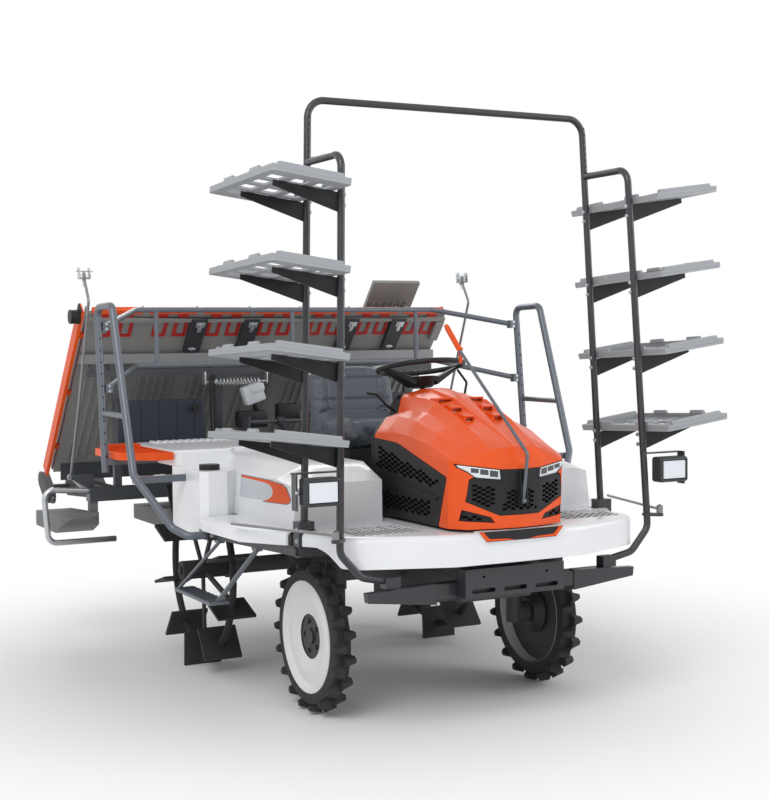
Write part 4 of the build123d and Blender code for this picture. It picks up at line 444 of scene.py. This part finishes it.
# %% Rack bolts
ARM_BOLT, FRAME_BOLT = 0.0065, 0.008
rack_bolts = bmesh.new()
for side in (-1, 1):
    for tier in RACK_TIERS:
        for front in (False, True):
            for drop in (0.018, 0.060):
                inner_face = post_at(side, tier - drop, front) - Vector((side * POST_RADIUS, 0, 0))
                add_bolt(rack_bolts, inner_face, (-side, 0, 0), ARM_BOLT)
    for z in (0.785, 0.832):
        foot_plate = post_at(side, z, False) + Vector((side * 0.035, -0.012, 0))
        add_bolt(rack_bolts, foot_plate, (side, 0, 0), FRAME_BOLT)
    for reach in (0.020, 0.050):
        add_bolt(rack_bolts, spot(side * (0.905 - reach), 0.360, 0.740), (0, -1, 0), FRAME_BOLT)
    add_bolt(rack_bolts, spot(side * 0.922, -0.640, 1.020), (side, 0, 0), FRAME_BOLT)
finished("rack_bolts", rack_bolts, "zinc", "chassis")

# %% [markdown]
# ## Clamp bolts of the handrail
# The rear handrail is clamped to the two hoops, with two bolts at each end of a rail, and the
# hoops' feet are bolted down to the deck. The places come from a short table of rail ends.

# %% Clamp bolts on the handrail and the hoops
RAIL_ENDS = ((1.057, 1.667), (1.027, 1.376))  # behind the front axle, height
HOOP_FEET = ((0.585, 0.980), (0.985, 1.034))
CLAMP_X, HOOP_FOOT_X = 1.136, 1.03
CLAMP_BOLT, FOOT_BOLT = 0.0055, 0.007
rail_bolts = bmesh.new()
for side in (-1, 1):
    for behind, z in RAIL_ENDS:
        for lift in (-0.012, 0.012):
            clamp = spot(side * CLAMP_X, behind - 0.018, z + lift)
            add_bolt(rail_bolts, clamp, (0, -1, 0), CLAMP_BOLT)
    for behind, z in HOOP_FEET:
        add_bolt(rail_bolts, spot(side * HOOP_FOOT_X, behind, z + 0.015), (0, 0, 1), FOOT_BOLT)
finished("rail_bolts", rail_bolts, "zinc", "chassis")

# %% [markdown]
# ## Adjusting holes
# The tall posts and the hoops have rows of holes for setting the trays and rails. Real holes would
# need a boolean on thin tube for every one. From a step away a hole shows only the shade inside the
# tube, so each is a thin black disc of painted shade that stands out of the tube by less than a
# millimetre.

# %% Rows of holes
HOOP_FOOT_Z, HOOP_TOP_Z = 0.985, 1.757
HOOP_X, HOOP_BEHIND, HOOP_RAKE = 1.170, 0.985, 0.083


def hoop_leg(side, z):
    along = (z - HOOP_FOOT_Z) / (HOOP_TOP_Z - HOOP_FOOT_Z)
    return Vector((side * HOOP_X, FRONT_AXLE_Y + HOOP_BEHIND + HOOP_RAKE * along, z))


# Each disc is painted shade: black where the open hole would show the dark inside of the tube.
def add_hole_shade(form, at, inner, outer, radius):
    add_bar(form, at - Vector((0, inner, 0)), at - Vector((0, outer, 0)), radius)


holes = bmesh.new()
for side in (-1, 1):
    for step in range(8):
        at = post_at(side, 2.325 + 0.028 * step, False)
        add_hole_shade(holes, at, POST_RADIUS - 0.002, POST_RADIUS + 0.0004, 0.0042)
    for step in range(11):
        add_hole_shade(holes, hoop_leg(side, 1.06 + 0.055 * step), 0.0155, 0.0180, 0.0045)
# The discs of painted shade take the black plastic finish.
finished("adjusting_hole_shade", holes, "black_plastic", "chassis")

# %% [markdown]
# ## Headlamps
# Behind each clear cover sit three dark square projectors with a bright strip over them, in a
# black bezel. They lie on the curved nose. Wrapping flat pieces onto it with a Shrinkwrap would
# depend on the solid's triangles, so each piece is drawn flat as seen from the front and then set
# back onto the nose by the nose's own plan.

# %% The nose's surface
NOSE_PLAN = ((0.0, -0.768), (0.100, -0.756), (0.225, -0.722), (0.268, -0.650), (0.30, -0.60))
NOSE_BENDS = (0.100, 0.225)
NOSE_LEAN, NOSE_TOP_Z = 0.05, 1.110


def nose_y(x, z):
    across = abs(x)
    for (x0, y0), (x1, y1) in zip(NOSE_PLAN, NOSE_PLAN[1:]):
        if across <= x1:
            break
    return FRONT_AXLE_Y + y0 + (y1 - y0) * (across - x0) / (x1 - x0) + NOSE_LEAN * (NOSE_TOP_Z - z)


print("tip of the nose at", round(nose_y(0.0, NOSE_TOP_Z), 3))

# %% Cutting, walling and collecting thin panels
def cut_across(form, place, normal):
    everything = form.verts[:] + form.edges[:] + form.faces[:]
    bmesh.ops.bisect_plane(form, geom=everything, plane_co=place, plane_no=normal, dist=SAME_POINT)


def give_wall(form, faces, move):
    wall = bmesh.ops.extrude_face_region(form, geom=faces)
    moved = [item for item in wall["geom"] if isinstance(item, bmesh.types.BMVert)]
    bmesh.ops.translate(form, verts=moved, vec=move)


def pour_into(form, part):
    scratch = bpy.data.meshes.new("scratch")
    part.to_mesh(scratch)
    part.free()
    form.from_mesh(scratch)
    bpy.data.meshes.remove(scratch)


def nose_panel(form, outline, side, proud, thick):
    """A flat outline in X and Z, cut where the nose bends, laid on it and given a wall."""
    flat = bmesh.new()
    flat.faces.new([flat.verts.new((side * x, 0.0, z)) for x, z in outline])
    for bend in NOSE_BENDS:
        cut_across(flat, (side * bend, 0, 0), (1, 0, 0))
    for vert in flat.verts:
        vert.co.y = nose_y(vert.co.x, vert.co.z) - proud
    bmesh.ops.recalc_face_normals(flat, faces=flat.faces[:])
    give_wall(flat, flat.faces[:], (0, thick, 0))
    pour_into(form, flat)


# %% Bezels, projectors and strips
LENS = (  # across, height
    (0.0945, 1.0735), (0.2565, 1.097), (0.250, 1.0835),
    (0.199, 1.0465), (0.191, 1.042), (0.0885, 1.031),
)
STRIP = ((0.098, 1.0705), (0.246, 1.0925), (0.240, 1.0875), (0.098, 1.0665))
PROJECTORS = (  # middle's x and z, width, height
    (0.196, 1.0715, 0.030, 0.020),
    (0.158, 1.0640, 0.032, 0.023),
    (0.119, 1.0555, 0.032, 0.025),
)
PROJECTOR_RISE = 0.004
BEZEL_OVERLAP, BEZEL_WIDTH = 0.0015, 1.6
bezels, projectors, strips = bmesh.new(), bmesh.new(), bmesh.new()
for side in (-1, 1):
    for (x0, z0), (x1, z1) in zip(LENS, LENS[1:] + LENS[:1]):
        on = Vector((x1 - x0, z1 - z0)).normalized() * BEZEL_OVERLAP
        out = Vector((-on.y, on.x)) * BEZEL_WIDTH
        inner = ((x0 - on.x, z0 - on.y), (x1 + on.x, z1 + on.y))
        outer = ((x1 - out.x, z1 - out.y), (x0 - out.x, z0 - out.y))
        nose_panel(bezels, inner + outer, side, 0.0022, 0.004)
    for x, z, wide, tall in PROJECTORS:
        left, right_edge, low, high = x - wide / 2, x + wide / 2, z - tall / 2, z + tall / 2
        inner = ((left, low), (right_edge, low + PROJECTOR_RISE))
        outer = ((right_edge, high + PROJECTOR_RISE), (left, high))
        nose_panel(projectors, inner + outer, side, 0.0006, 0.003)
    nose_panel(strips, STRIP, side, 0.0008, 0.003)
finished("headlamp_bezels", bezels, "black_plastic", "hood_lid")
finished("headlamp_projectors", projectors, "lamp_dark", "hood_lid")
finished("headlamp_strips", strips, "lamp_white", "hood_lid")

# %% [markdown]
# ## Orange ends of the nose plate
# A blank black plate with orange ends is set in the white nose. The ends are cut from thin foil. A
# second finish on the plate's own faces would end at its triangles, so each end is an outline of
# its own that follows the plate's slight sweep, with a thin wall.

# %% Foil on the nose plate
PLATE_END = (  # across, height
    (0.199, 0.8295), (0.180, 0.8295), (0.152, 0.8015),
    (0.070, 0.7985), (0.034, 0.7925), (0.166, 0.7925),
)
PLATE_FRONT, PLATE_SWEEP, PLATE_REACH = FRONT_AXLE_Y - 0.7672, 0.004, 0.201
FOIL_THICK = 0.0012
nose_ends = bmesh.new()
for side in (-1, 1):
    corners = [(side * x, PLATE_FRONT + PLATE_SWEEP * x / PLATE_REACH, z) for x, z in PLATE_END]
    face = nose_ends.faces.new([nose_ends.verts.new(corner) for corner in corners])
    give_wall(nose_ends, [face], (0, -FOIL_THICK, 0))
finished("nose_plate_ends", nose_ends, "orange_plastic", "chassis")

# %% [markdown]
# ## Stripes on the side covers
# On both side covers a pale grey panel is framed by an orange sweep with a grey edge. They are
# foils stuck on a cover that bends a little. Painting them by place would need a very fine mesh,
# so each foil is a flat outline, cut where the cover bends and set onto it by the cover's three
# sections. Every layer lies a little further out than the one below it.

# %% The side covers' surface
COVER_FOOT_Z = 0.825
COVER_SECTIONS = (  # half width at the foot, how far it leans in, over what height
    (0.742, 0.018, 0.160),
    (0.758, 0.020, 0.185),
    (0.762, 0.020, 0.183),
)
COVER_FRONT, COVER_MIDDLE = -0.195, -0.02
COVER_FRONT_LENGTH, COVER_REAR_LENGTH = 0.175, 0.81


def cover_x(y, z):
    """Half width of the side cover at a place, from its three sections."""
    lift, behind = z - COVER_FOOT_Z, y - FRONT_AXLE_Y
    front, centre, rear = (foot - lean * lift / tall for foot, lean, tall in COVER_SECTIONS)
    if behind < COVER_MIDDLE:
        return front + (centre - front) * (behind - COVER_FRONT) / COVER_FRONT_LENGTH
    return centre + (rear - centre) * (behind - COVER_MIDDLE) / COVER_REAR_LENGTH


print("side cover's half width", round(cover_x(FRONT_AXLE_Y, 0.95), 3))

# %% Sweep, its edge and the panel
COVER_BENDS = (-0.15, -0.10, -0.02, 0.12, 0.24)
COVER_CREASE_Z = 0.955
COVER_FOIL_THICK = 0.002
SWEEP_OUTER = (  # behind the front axle, height
    (0.362, 0.9990), (0.040, 0.9990), (-0.070, 0.9920), (-0.110, 0.9780),
    (-0.150, 0.9380), (-0.146, 0.9240), (-0.120, 0.9160), (0.100, 0.9090),
)
EDGE_OUTER = (
    (0.362, 1.0025), (0.040, 1.0025), (-0.073, 0.9955), (-0.115, 0.9815),
    (-0.157, 0.9385), (-0.152, 0.9215), (-0.123, 0.9125), (0.110, 0.9050),
)
SWEEP_INNER = (
    (0.050, 0.9200), (0.018, 0.9330), (0.004, 0.9490), (0.014, 0.9670),
    (0.040, 0.9800), (0.080, 0.9865), (0.362, 0.9915),
)
PANEL = (
    (0.362, 0.9885), (0.082, 0.9840), (0.044, 0.9775), (0.020, 0.9655), (0.011, 0.9490),
    (0.024, 0.9350), (0.054, 0.9225), (0.100, 0.9115), (0.362, 0.9040),
)


def cover_foil(name, outline, proud, finish):
    foil = bmesh.new()
    for side in (-1, 1):
        flat = bmesh.new()
        flat.faces.new([flat.verts.new((0.0, FRONT_AXLE_Y + y, z)) for y, z in outline])
        for bend in COVER_BENDS:
            cut_across(flat, (0, FRONT_AXLE_Y + bend, 0), (0, 1, 0))
        cut_across(flat, (0, 0, COVER_CREASE_Z), (0, 0, 1))
        for vert in flat.verts:
            vert.co.x = side * (cover_x(vert.co.y, vert.co.z) + proud)
        give_wall(flat, flat.faces[:], (-side * COVER_FOIL_THICK, 0, 0))
        pour_into(foil, flat)
    return finished(name, foil, finish, "chassis")


cover_foil("cover_sweep_edge", EDGE_OUTER + SWEEP_INNER, 0.0006, "foil_grey")
cover_foil("cover_sweep", SWEEP_OUTER + SWEEP_INNER, 0.0012, "orange_plastic")
cover_foil("cover_panel", PANEL, 0.0006, "panel_grey")

# %% [markdown]
# ## Anti-slip bars on the footboards
# The footboards carry rows of low grey bars, moulded in. An Array modifier would lay them on a
# plane, but the boards slope and step, so each bar is dropped onto the deck by a ray from above.
# Bars that would land on another level are left out.

# %% Rows of bars
BAR_PITCH_X, BAR_PITCH_Y = 0.036, 0.017
BAR_SHAPE = Matrix.Diagonal((0.028, 0.0095, 1.0, 1.0)) @ Matrix.Rotation(math.pi / 4, 4, "Z")
BAR_FOOT_R, BAR_TOP_R, BAR_HEIGHT = 0.70, 0.5, 0.0034
RAY_FROM_Z, BOARD_LOW_Z = 0.90, 0.80
BOARDS = (  # x from and to, distance behind the front axle from and to
    (0.345, 0.690, -0.170, 0.300),
    (0.360, 0.660, -0.560, -0.330),
)
deck = frame["nodes"]["floor_deck"].data
deck_surface = BVHTree.FromPolygons([vert.co for vert in deck.vertices],
                                    [face.vertices for face in deck.polygons])
grip = bmesh.new()
for side in (-1, 1):
    for x_from, x_to, y_from, y_to in BOARDS:
        for row in range(int((y_to - y_from) / BAR_PITCH_Y)):
            for column in range(int((x_to - x_from) / BAR_PITCH_X)):
                x = side * (x_from + (column + (row % 2) / 2) * BAR_PITCH_X)
                above = Vector((x, FRONT_AXLE_Y + y_from + row * BAR_PITCH_Y, RAY_FROM_Z))
                hit, normal, index, far = deck_surface.ray_cast(above, Vector((0, 0, -1)))
                if hit and normal.z > 0.98 and hit.z > BOARD_LOW_Z:
                    bmesh.ops.create_cone(grip, cap_ends=True, cap_tris=False, segments=4,
                                          radius1=BAR_FOOT_R, radius2=BAR_TOP_R, depth=BAR_HEIGHT,
                                          matrix=Matrix.Translation(hit) @ BAR_SHAPE)
finished("antislip_bars", grip, "grip_grey", "chassis")

# %% [markdown]
# ## Clips and ovals under the platform
# Between the bays sit black brackets with a bright clip and its knob at the top and an oval plate
# at the foot. They lie on the slope, so one turn is made from the slope's own directions, and the
# places run along it. The oval is two crossed bars, which is enough at its size.

# %% Clips and ovals on the brackets
ACROSS = Vector((1, 0, 0))
SLOPE_TURN = Matrix((ACROSS, UP_SLOPE, ACROSS.cross(UP_SLOPE))).transposed().to_4x4()
CLIP_SHIFT, OVAL_SHIFT = 0.008, -0.004
clips, ovals = bmesh.new(), bmesh.new()
for row in BRACKET_ROWS:
    clip, oval = row + CLIP_SHIFT, row + OVAL_SHIFT
    add_block(clips, on_platform(clip, -0.105, 0.0285), (0.050, 0.036, 0.006), SLOPE_TURN, 0.002)
    add_bar(clips, on_platform(clip, -0.105, 0.031), on_platform(clip, -0.105, 0.040), 0.010, 16)
    add_block(clips, on_platform(clip, -0.138, 0.0280), (0.022, 0.034, 0.005), SLOPE_TURN, 0.0015)
    add_bar(ovals, on_platform(oval, -0.272, 0.0245), on_platform(oval, -0.272, 0.0285), 0.013, 24)
    ends = on_platform(oval - 0.020, -0.272, 0.0245), on_platform(oval + 0.020, -0.272, 0.0275)
    add_bar(ovals, *ends, 0.006, 12)
finished("bracket_clips", clips, "zinc", "platform")
finished("bracket_ovals", ovals, "zinc", "platform")

# %% [markdown]
# ## Mat guides
# The mats of seedlings slide down every bay on thin pale ribs. They could be drawn as stripes in
# the material, but they catch the light and cast fine shadows, so they are real: long thin blocks
# with softened edges, nine to a bay.

# %% Mat guides on the planting side of every bay
GUIDE_PITCH, GUIDE_LENGTH, GUIDE_MIDDLE = 0.028, 0.88, -0.725
GUIDE_RIB, GUIDE_OUT, GUIDE_EDGE = 0.005, -0.0235, 0.0012
guides = bmesh.new()
for bay in range(-3, 4):
    for step in range(-4, 5):
        rib = on_platform(bay * ROW_PITCH + step * GUIDE_PITCH, GUIDE_MIDDLE, GUIDE_OUT)
        add_block(guides, rib, (GUIDE_RIB, GUIDE_LENGTH, GUIDE_RIB), SLOPE_TURN, GUIDE_EDGE)
finished("mat_guides", guides, "panel_grey", "platform")

# %% [markdown]
# ## Spring under the guide rail
# A coil spring hangs across the machine under the guide rail. A Screw modifier on a curve would
# do, but the spin operator does the same inside the bmesh: a small circle is spun round the
# spring's axis and moved a little at every step. Its two ends are closed and hold in caps.

# %% Spring
SPRING_START, SPRING_END = -0.330, -0.090
SPRING_Y, SPRING_Z = FRONT_AXLE_Y + 1.730, 1.372
SPRING_RADIUS, WIRE_RADIUS, SPRING_TURNS, STEPS_A_TURN = 0.024, 0.0030, 12, 16
spring = bmesh.new()
wire_start = Matrix.Translation((SPRING_START, SPRING_Y, SPRING_Z + SPRING_RADIUS))
ring = bmesh.ops.create_circle(spring, cap_ends=False, segments=8, radius=WIRE_RADIUS,
                               matrix=wire_start)
ring_edges = list({edge for vert in ring["verts"] for edge in vert.link_edges})
steps = SPRING_TURNS * STEPS_A_TURN
rise = (SPRING_END - SPRING_START) / steps
bmesh.ops.spin(spring, geom=ring["verts"] + ring_edges, cent=(0, SPRING_Y, SPRING_Z),
               axis=(1, 0, 0), dvec=(rise, 0, 0), angle=2 * math.pi * SPRING_TURNS, steps=steps)
bmesh.ops.holes_fill(spring, edges=[edge for edge in spring.edges if edge.is_boundary], sides=0)
for x, way in ((SPRING_START, -1), (SPRING_END, 1)):
    eye, hook = (x, SPRING_Y, SPRING_Z), x + way * 0.060
    add_bar(spring, eye, (x + way * 0.012, SPRING_Y, SPRING_Z), SPRING_RADIUS * 0.9, 20)
    add_bar(spring, eye, (hook, SPRING_Y, SPRING_Z), 0.006, 12)
    add_block(spring, (hook, SPRING_Y + 0.012, SPRING_Z + 0.022), (0.008, 0.050, 0.070), None, 0.002)
finished("lift_spring", spring, "zinc", "planting_section")

# %% [markdown]
# ## Boxes in front of the lift
# A leaning grey cover box, black switch boxes, a knob and their upright rods fill the space
# between the seat and the platform. Seen through the rails they are plain shapes, so a table of
# blocks with softened edges says all that is needed.

# %% Sensor cover
LEAN = Matrix.Rotation(math.radians(-18), 4, "Y")
cover_box = bmesh.new()
add_block(cover_box, spot(-0.125, 1.700, 1.305), (0.120, 0.060, 0.105), LEAN, 0.012)
add_block(cover_box, spot(-0.110, 1.668, 1.335), (0.080, 0.014, 0.040), LEAN, 0.004)
finished("sensor_cover", cover_box, "panel_grey", "planting_section")

# %% Switch boxes, their rods and the round knob
SWITCH_BLOCKS = (  # place, size, turn, edge
    (spot(-0.130, 1.712, 1.165), (0.170, 0.070, 0.090), None, 0.008),
    (spot(0.085, 1.712, 1.190), (0.130, 0.060, 0.110), None, 0.008),
    (spot(-0.105, 1.715, 1.240), (0.024, 0.024, 0.070), LEAN, 0.004),
    (spot(0.250, 1.712, 1.130), (0.100, 0.060, 0.150), None, 0.008),
)
switch_boxes = bmesh.new()
for place, size, turn, edge in SWITCH_BLOCKS:
    add_block(switch_boxes, place, size, turn, edge)
for x in (-0.36, -0.34, 0.20):
    add_bar(switch_boxes, spot(x, 1.716, 0.86), spot(x, 1.716, 1.412), 0.007, 10)
add_bar(switch_boxes, spot(-0.462, 1.684, 1.238), spot(-0.462, 1.670, 1.238), 0.020, 24)
finished("switch_boxes", switch_boxes, "black_plastic", "planting_section")

# %% [markdown]
# ## Heads of the line markers
# Each line marker is a long rod with a small forked head of plated sheet that draws the line in
# the mud. It rides on the marker's arm, so that it swings out with it: a foot, two cheeks, a pin
# through them and a socket on the rod.

# %% Marker heads
MARKER_TIP = Vector((1.100, REAR_AXLE_Y + 0.440, 1.920))
for side, word in ((-1, "right"), (1, "left")):
    tip = Vector((side * MARKER_TIP.x, MARKER_TIP.y, MARKER_TIP.z))
    head = bmesh.new()
    add_block(head, tip + Vector((0, 0.004, -0.004)), (0.062, 0.020, 0.014), None, 0.003)
    for cheek in (-0.026, 0.026):
        add_block(head, tip + Vector((cheek, -0.004, 0.020)), (0.006, 0.042, 0.056), None, 0.002)
    pin = tip + Vector((-0.042, -0.008, 0.030)), tip + Vector((0.042, -0.008, 0.030))
    add_bar(head, *pin, 0.004, 10)
    add_bar(head, tip + Vector((0, 0, -0.010)), tip + Vector((0, -0.012, -0.045)), 0.009, 12)
    finished("marker_head_" + word, head, "zinc", "line_marker_arm_" + word)

# %% [markdown]
# ## Blade of the centre marker
# The centre marker is the driver's sight: a rod over the hood with an orange blade at its top, in
# a small holder. Both are folded sheet, so softened blocks do. The blade lies along the line
# between its two ends, which is simpler to read than an angle.

# %% Holder and blade
holder = bmesh.new()
add_block(holder, spot(0.012, -0.279, 1.522), (0.010, 0.016, 0.070), None, 0.002)
add_block(holder, spot(0.006, -0.282, 1.549), (0.022, 0.020, 0.012), None, 0.002)
finished("marker_holder", holder, "orange_plastic", "center_marker_arm")

BLADE_LOW, BLADE_HIGH = spot(0, -0.290, 1.545), spot(0, -0.182, 1.646)
BLADE_WIDTH, BLADE_DEPTH, BLADE_EDGE = 0.017, 0.024, 0.006
blade_line = BLADE_HIGH - BLADE_LOW
blade = bmesh.new()
blade_size = (BLADE_WIDTH, BLADE_DEPTH, blade_line.length)
add_block(blade, (BLADE_LOW + BLADE_HIGH) / 2, blade_size, facing(blade_line.normalized()), BLADE_EDGE)
finished("marker_blade", blade, "orange_plastic", "center_marker_arm")

# %% [markdown]
# ## The seat
# The seat is a vinyl-covered foam shell: crowned, with its sides pulled in between the corners. It
# could be sculpted, or a block could be subdivided, but then no two corners pull alike. Here a
# copy of the solid is remeshed evenly and made a little smaller, and Cloth under pressure swells
# it, with a cap on how far a point may move.

# %% A smaller, evenly meshed copy
SEAT_VOXEL, SEAT_SHRINK = 0.007, 0.010
seat_form = bmesh.new()
seat_form.from_mesh(frame["nodes"]["seat_cushion"].data)
bmesh.ops.remove_doubles(seat_form, verts=seat_form.verts[:], dist=SAME_POINT)
seat_form.normal_update()
seat_mesh = bpy.data.meshes.new("seat_cover")
seat_form.to_mesh(seat_mesh)
seat_form.free()
seat = bpy.data.objects.new("seat_cover", seat_mesh)
bpy.context.scene.collection.objects.link(seat)
bpy.context.view_layer.update()


def apply_modifiers(piece):
    evaluated = piece.evaluated_get(bpy.context.evaluated_depsgraph_get())
    shaped = bpy.data.meshes.new_from_object(evaluated)
    piece.modifiers.clear()
    piece.data = shaped


def points_and_normals(piece):
    """Read first, because a point's normal changes as soon as its neighbours move."""
    return [(vert, vert.normal.copy()) for vert in piece.data.vertices]


remesh = seat.modifiers.new("even", "REMESH")
remesh.mode = "VOXEL"
remesh.voxel_size = SEAT_VOXEL
apply_modifiers(seat)
for vert, normal in points_and_normals(seat):
    vert.co -= normal * SEAT_SHRINK
print("seat starts from", len(seat.data.vertices), "points")

# %% Swell the cover
SEAT_SWELL_CAP = 0.024
CLOTH_FRAMES = 20
start_places = [v.co.copy() for v in seat.data.vertices]
cloth = seat.modifiers.new("swell", "CLOTH")
cloth.settings.use_pressure = True
cloth.settings.uniform_pressure_force = 4.0
cloth.settings.effector_weights.gravity = 0.0
cloth.settings.tension_stiffness = 12.0
for step in range(1, CLOTH_FRAMES + 1):
    bpy.context.scene.frame_set(step)
apply_modifiers(seat)
bpy.context.scene.frame_set(1)
for vert, start in zip(seat.data.vertices, start_places):
    move = vert.co - start
    if move.length > SEAT_SWELL_CAP:
        vert.co = start + move * (SEAT_SWELL_CAP / move.length)
farthest = max((v.co - start).length for v, start in zip(seat.data.vertices, start_places))
print("cover moved by", round(farthest, 4), "at most")

# %% [markdown]
# ## Sewn channels
# Two seams are sewn across the back and two across the cushion, and each pulls the vinyl in. A
# seam drawn in the material would not bend the light along the edge of the seat, so the points
# near a seam are pushed in by a smooth bell curve. The seat is also held inside its solid's box.

# %% Channels, and the seat inside its box
SEAT_LOW, SEAT_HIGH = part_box("seat_cushion")
BACK_CHANNELS = (1.402, 1.300)
CUSHION_CHANNELS = (0.150, 0.075)
CHANNEL_DEPTH, CHANNEL_WIDTH = 0.007, 0.010
CUSHION_TOP_Z = 1.24


def channel_share(value, channels):
    return max(math.exp(-(((value - channel) / CHANNEL_WIDTH) ** 2)) for channel in channels)


for vert, normal in points_and_normals(seat):
    if normal.y < -0.3 and vert.co.z > CUSHION_TOP_Z:
        vert.co.y += channel_share(vert.co.z, BACK_CHANNELS) * CHANNEL_DEPTH
    if normal.z > 0.5 and vert.co.z < CUSHION_TOP_Z:
        vert.co.z -= channel_share(vert.co.y - SEAT_LOW.y, CUSHION_CHANNELS) * CHANNEL_DEPTH
    for axis in range(3):
        vert.co[axis] = min(max(vert.co[axis], SEAT_LOW[axis]), SEAT_HIGH[axis])
smooth_seat = seat.modifiers.new("rounded", "SUBSURF")
smooth_seat.levels = smooth_seat.render_levels = 1
apply_modifiers(seat)
seat.data.materials.clear()
seat.data.materials.append(FINISHES["seat_vinyl"])
for face in seat.data.polygons:
    face.use_smooth = True
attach(seat, "chassis")
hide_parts("seat_cushion")
print("seat cover", len(seat.data.polygons), "faces")

# %% [markdown]
# ## The studio floor
# The machine stands on a pale floor that turns to plain white further out. A curved backdrop would
# show its bend from some sides. A flat floor that fades from a matt surface, which takes the
# shadow, to a plain white glow looks the same from all of them.

# %% Floor
FLOOR_SIZE = 60.0
FLOOR_PLAIN, FLOOR_WHITE = 1.2, 3.3
bpy.ops.mesh.primitive_plane_add(size=FLOOR_SIZE, location=(0.0, 0.0, 0.0))
floor = bpy.context.object
floor.name = "studio_floor"
pale = bpy.data.materials.new("studio_white")
pale.use_nodes = True
tree = pale.node_tree
shader = tree.nodes["Principled BSDF"]
shader.inputs["Base Color"].default_value = (0.9, 0.9, 0.9, 1.0)
shader.inputs["Roughness"].default_value = 0.9
floor_place = tree.nodes.new("ShaderNodeTexCoord")
reach = tree.nodes.new("ShaderNodeVectorMath")
reach.operation = "LENGTH"
fade = tree.nodes.new("ShaderNodeMapRange")
fade.interpolation_type = "SMOOTHSTEP"
fade.inputs["From Min"].default_value = FLOOR_PLAIN
fade.inputs["From Max"].default_value = FLOOR_WHITE
glow = tree.nodes.new("ShaderNodeEmission")
blend = tree.nodes.new("ShaderNodeMixShader")
tree.links.new(floor_place.outputs["Object"], reach.inputs[0])
tree.links.new(reach.outputs["Value"], fade.inputs["Value"])
tree.links.new(fade.outputs["Result"], blend.inputs["Fac"])
tree.links.new(shader.outputs["BSDF"], blend.inputs[1])
tree.links.new(glow.outputs["Emission"], blend.inputs[2])
tree.links.new(blend.outputs["Shader"], tree.nodes["Material Output"].inputs["Surface"])
floor.data.materials.append(pale)
print("floor is white from", FLOOR_WHITE, "m out")

# %% [markdown]
# ## The world
# A studio picture has a white background, but a world of full strength would wash the paint out.
# So the camera and the reflections see white, and everything else is lit by a softer grey.

# %% White to look at, soft to light with
AMBIENT, BACKGROUND_WHITE = 0.48, 1.0
world = bpy.data.worlds.new("studio_world")
world.use_nodes = True
bpy.context.scene.world = world
tree = world.node_tree
background = tree.nodes["Background"]
path = tree.nodes.new("ShaderNodeLightPath")
seen = tree.nodes.new("ShaderNodeMath")
seen_through = tree.nodes.new("ShaderNodeMath")
seen.operation = seen_through.operation = "MAXIMUM"
strength = tree.nodes.new("ShaderNodeMix")
strength.data_type = "FLOAT"
strength.inputs["A"].default_value = AMBIENT
strength.inputs["B"].default_value = BACKGROUND_WHITE
tree.links.new(path.outputs["Is Camera Ray"], seen.inputs[0])
tree.links.new(path.outputs["Is Glossy Ray"], seen.inputs[1])
tree.links.new(seen.outputs[0], seen_through.inputs[0])
tree.links.new(path.outputs["Is Transmission Ray"], seen_through.inputs[1])
tree.links.new(seen_through.outputs[0], strength.inputs["Factor"])
tree.links.new(strength.outputs["Result"], background.inputs["Strength"])
background.inputs["Color"].default_value = (1.0, 1.0, 1.0, 1.0)
print("world lights with", AMBIENT)

# %% [markdown]
# ## The lamps
# Three lamps light the machine: a broad key from the front, a weaker fill from the other side,
# and a rim light from behind that draws the tubes out of the background. Spots would cast hard
# shadows of every tube, so all three are large areas.

# %% Key, fill and rim
def lamp(name, place, target, size, power):
    data = bpy.data.lights.new(name, "AREA")
    data.shape = "RECTANGLE"
    data.size, data.size_y = size
    data.energy = power
    light = bpy.data.objects.new(name, data)
    light.location = place
    light.rotation_mode = "QUATERNION"
    light.rotation_quaternion = (Vector(target) - Vector(place)).to_track_quat("-Z", "Y")
    bpy.context.collection.objects.link(light)
    print(name, "lamp of", power, "W")


lamp("key", (-4.5, -5.0, 6.0), (0, 0, 0.9), (4.0, 4.0), 290.0)
lamp("fill", (5.5, -4.0, 3.5), (0, 0, 0.9), (4.0, 3.0), 120.0)
lamp("rim", (1.0, 5.5, 5.0), (0, 0, 1.0), (5.0, 3.0), 160.0)

# %% [markdown]
# ## The camera
# The camera could be moved by eye until the picture looks right, but then the lens and the
# distance stay uncertain. Its place, turn and lens were solved from the photograph instead, using
# the wheels, the rack and the deck as pairs that mirror each other. The focal length is given in
# picture heights.

# %% Camera at the photograph's angle
CAMERA_PLACE = spot(-3.1335, -5.5397, 1.5947)
YAW, PITCH, ROLL = 0.4872, -0.0446, -0.0110
FOCAL_HEIGHTS = 1432.9 / 800.0
SENSOR_WIDTH = 36.0
level = math.cos(PITCH)
forward = Vector((math.sin(YAW) * level, math.cos(YAW) * level, math.sin(PITCH)))
level_right = Vector((math.cos(YAW), -math.sin(YAW), 0.0))
level_up = level_right.cross(forward)
right = level_right * math.cos(ROLL) + level_up * math.sin(ROLL)
up = level_up * math.cos(ROLL) - level_right * math.sin(ROLL)
camera_data = bpy.data.cameras.new("camera")
camera = bpy.data.objects.new("camera", camera_data)
bpy.context.collection.objects.link(camera)
camera.matrix_world = Matrix((
    (right.x, up.x, -forward.x, CAMERA_PLACE.x),
    (right.y, up.y, -forward.y, CAMERA_PLACE.y),
    (right.z, up.z, -forward.z, CAMERA_PLACE.z),
    (0.0, 0.0, 0.0, 1.0),
))
camera_data.sensor_width = SENSOR_WIDTH
camera_data.lens = SENSOR_WIDTH * FOCAL_HEIGHTS
camera_data.shift_x, camera_data.shift_y = -0.0030, 0.0035
camera_data.clip_end = 200.0
bpy.context.scene.camera = camera
bpy.context.scene.view_settings.view_transform = "Standard"
print("lens of", round(camera_data.lens, 1), "mm")
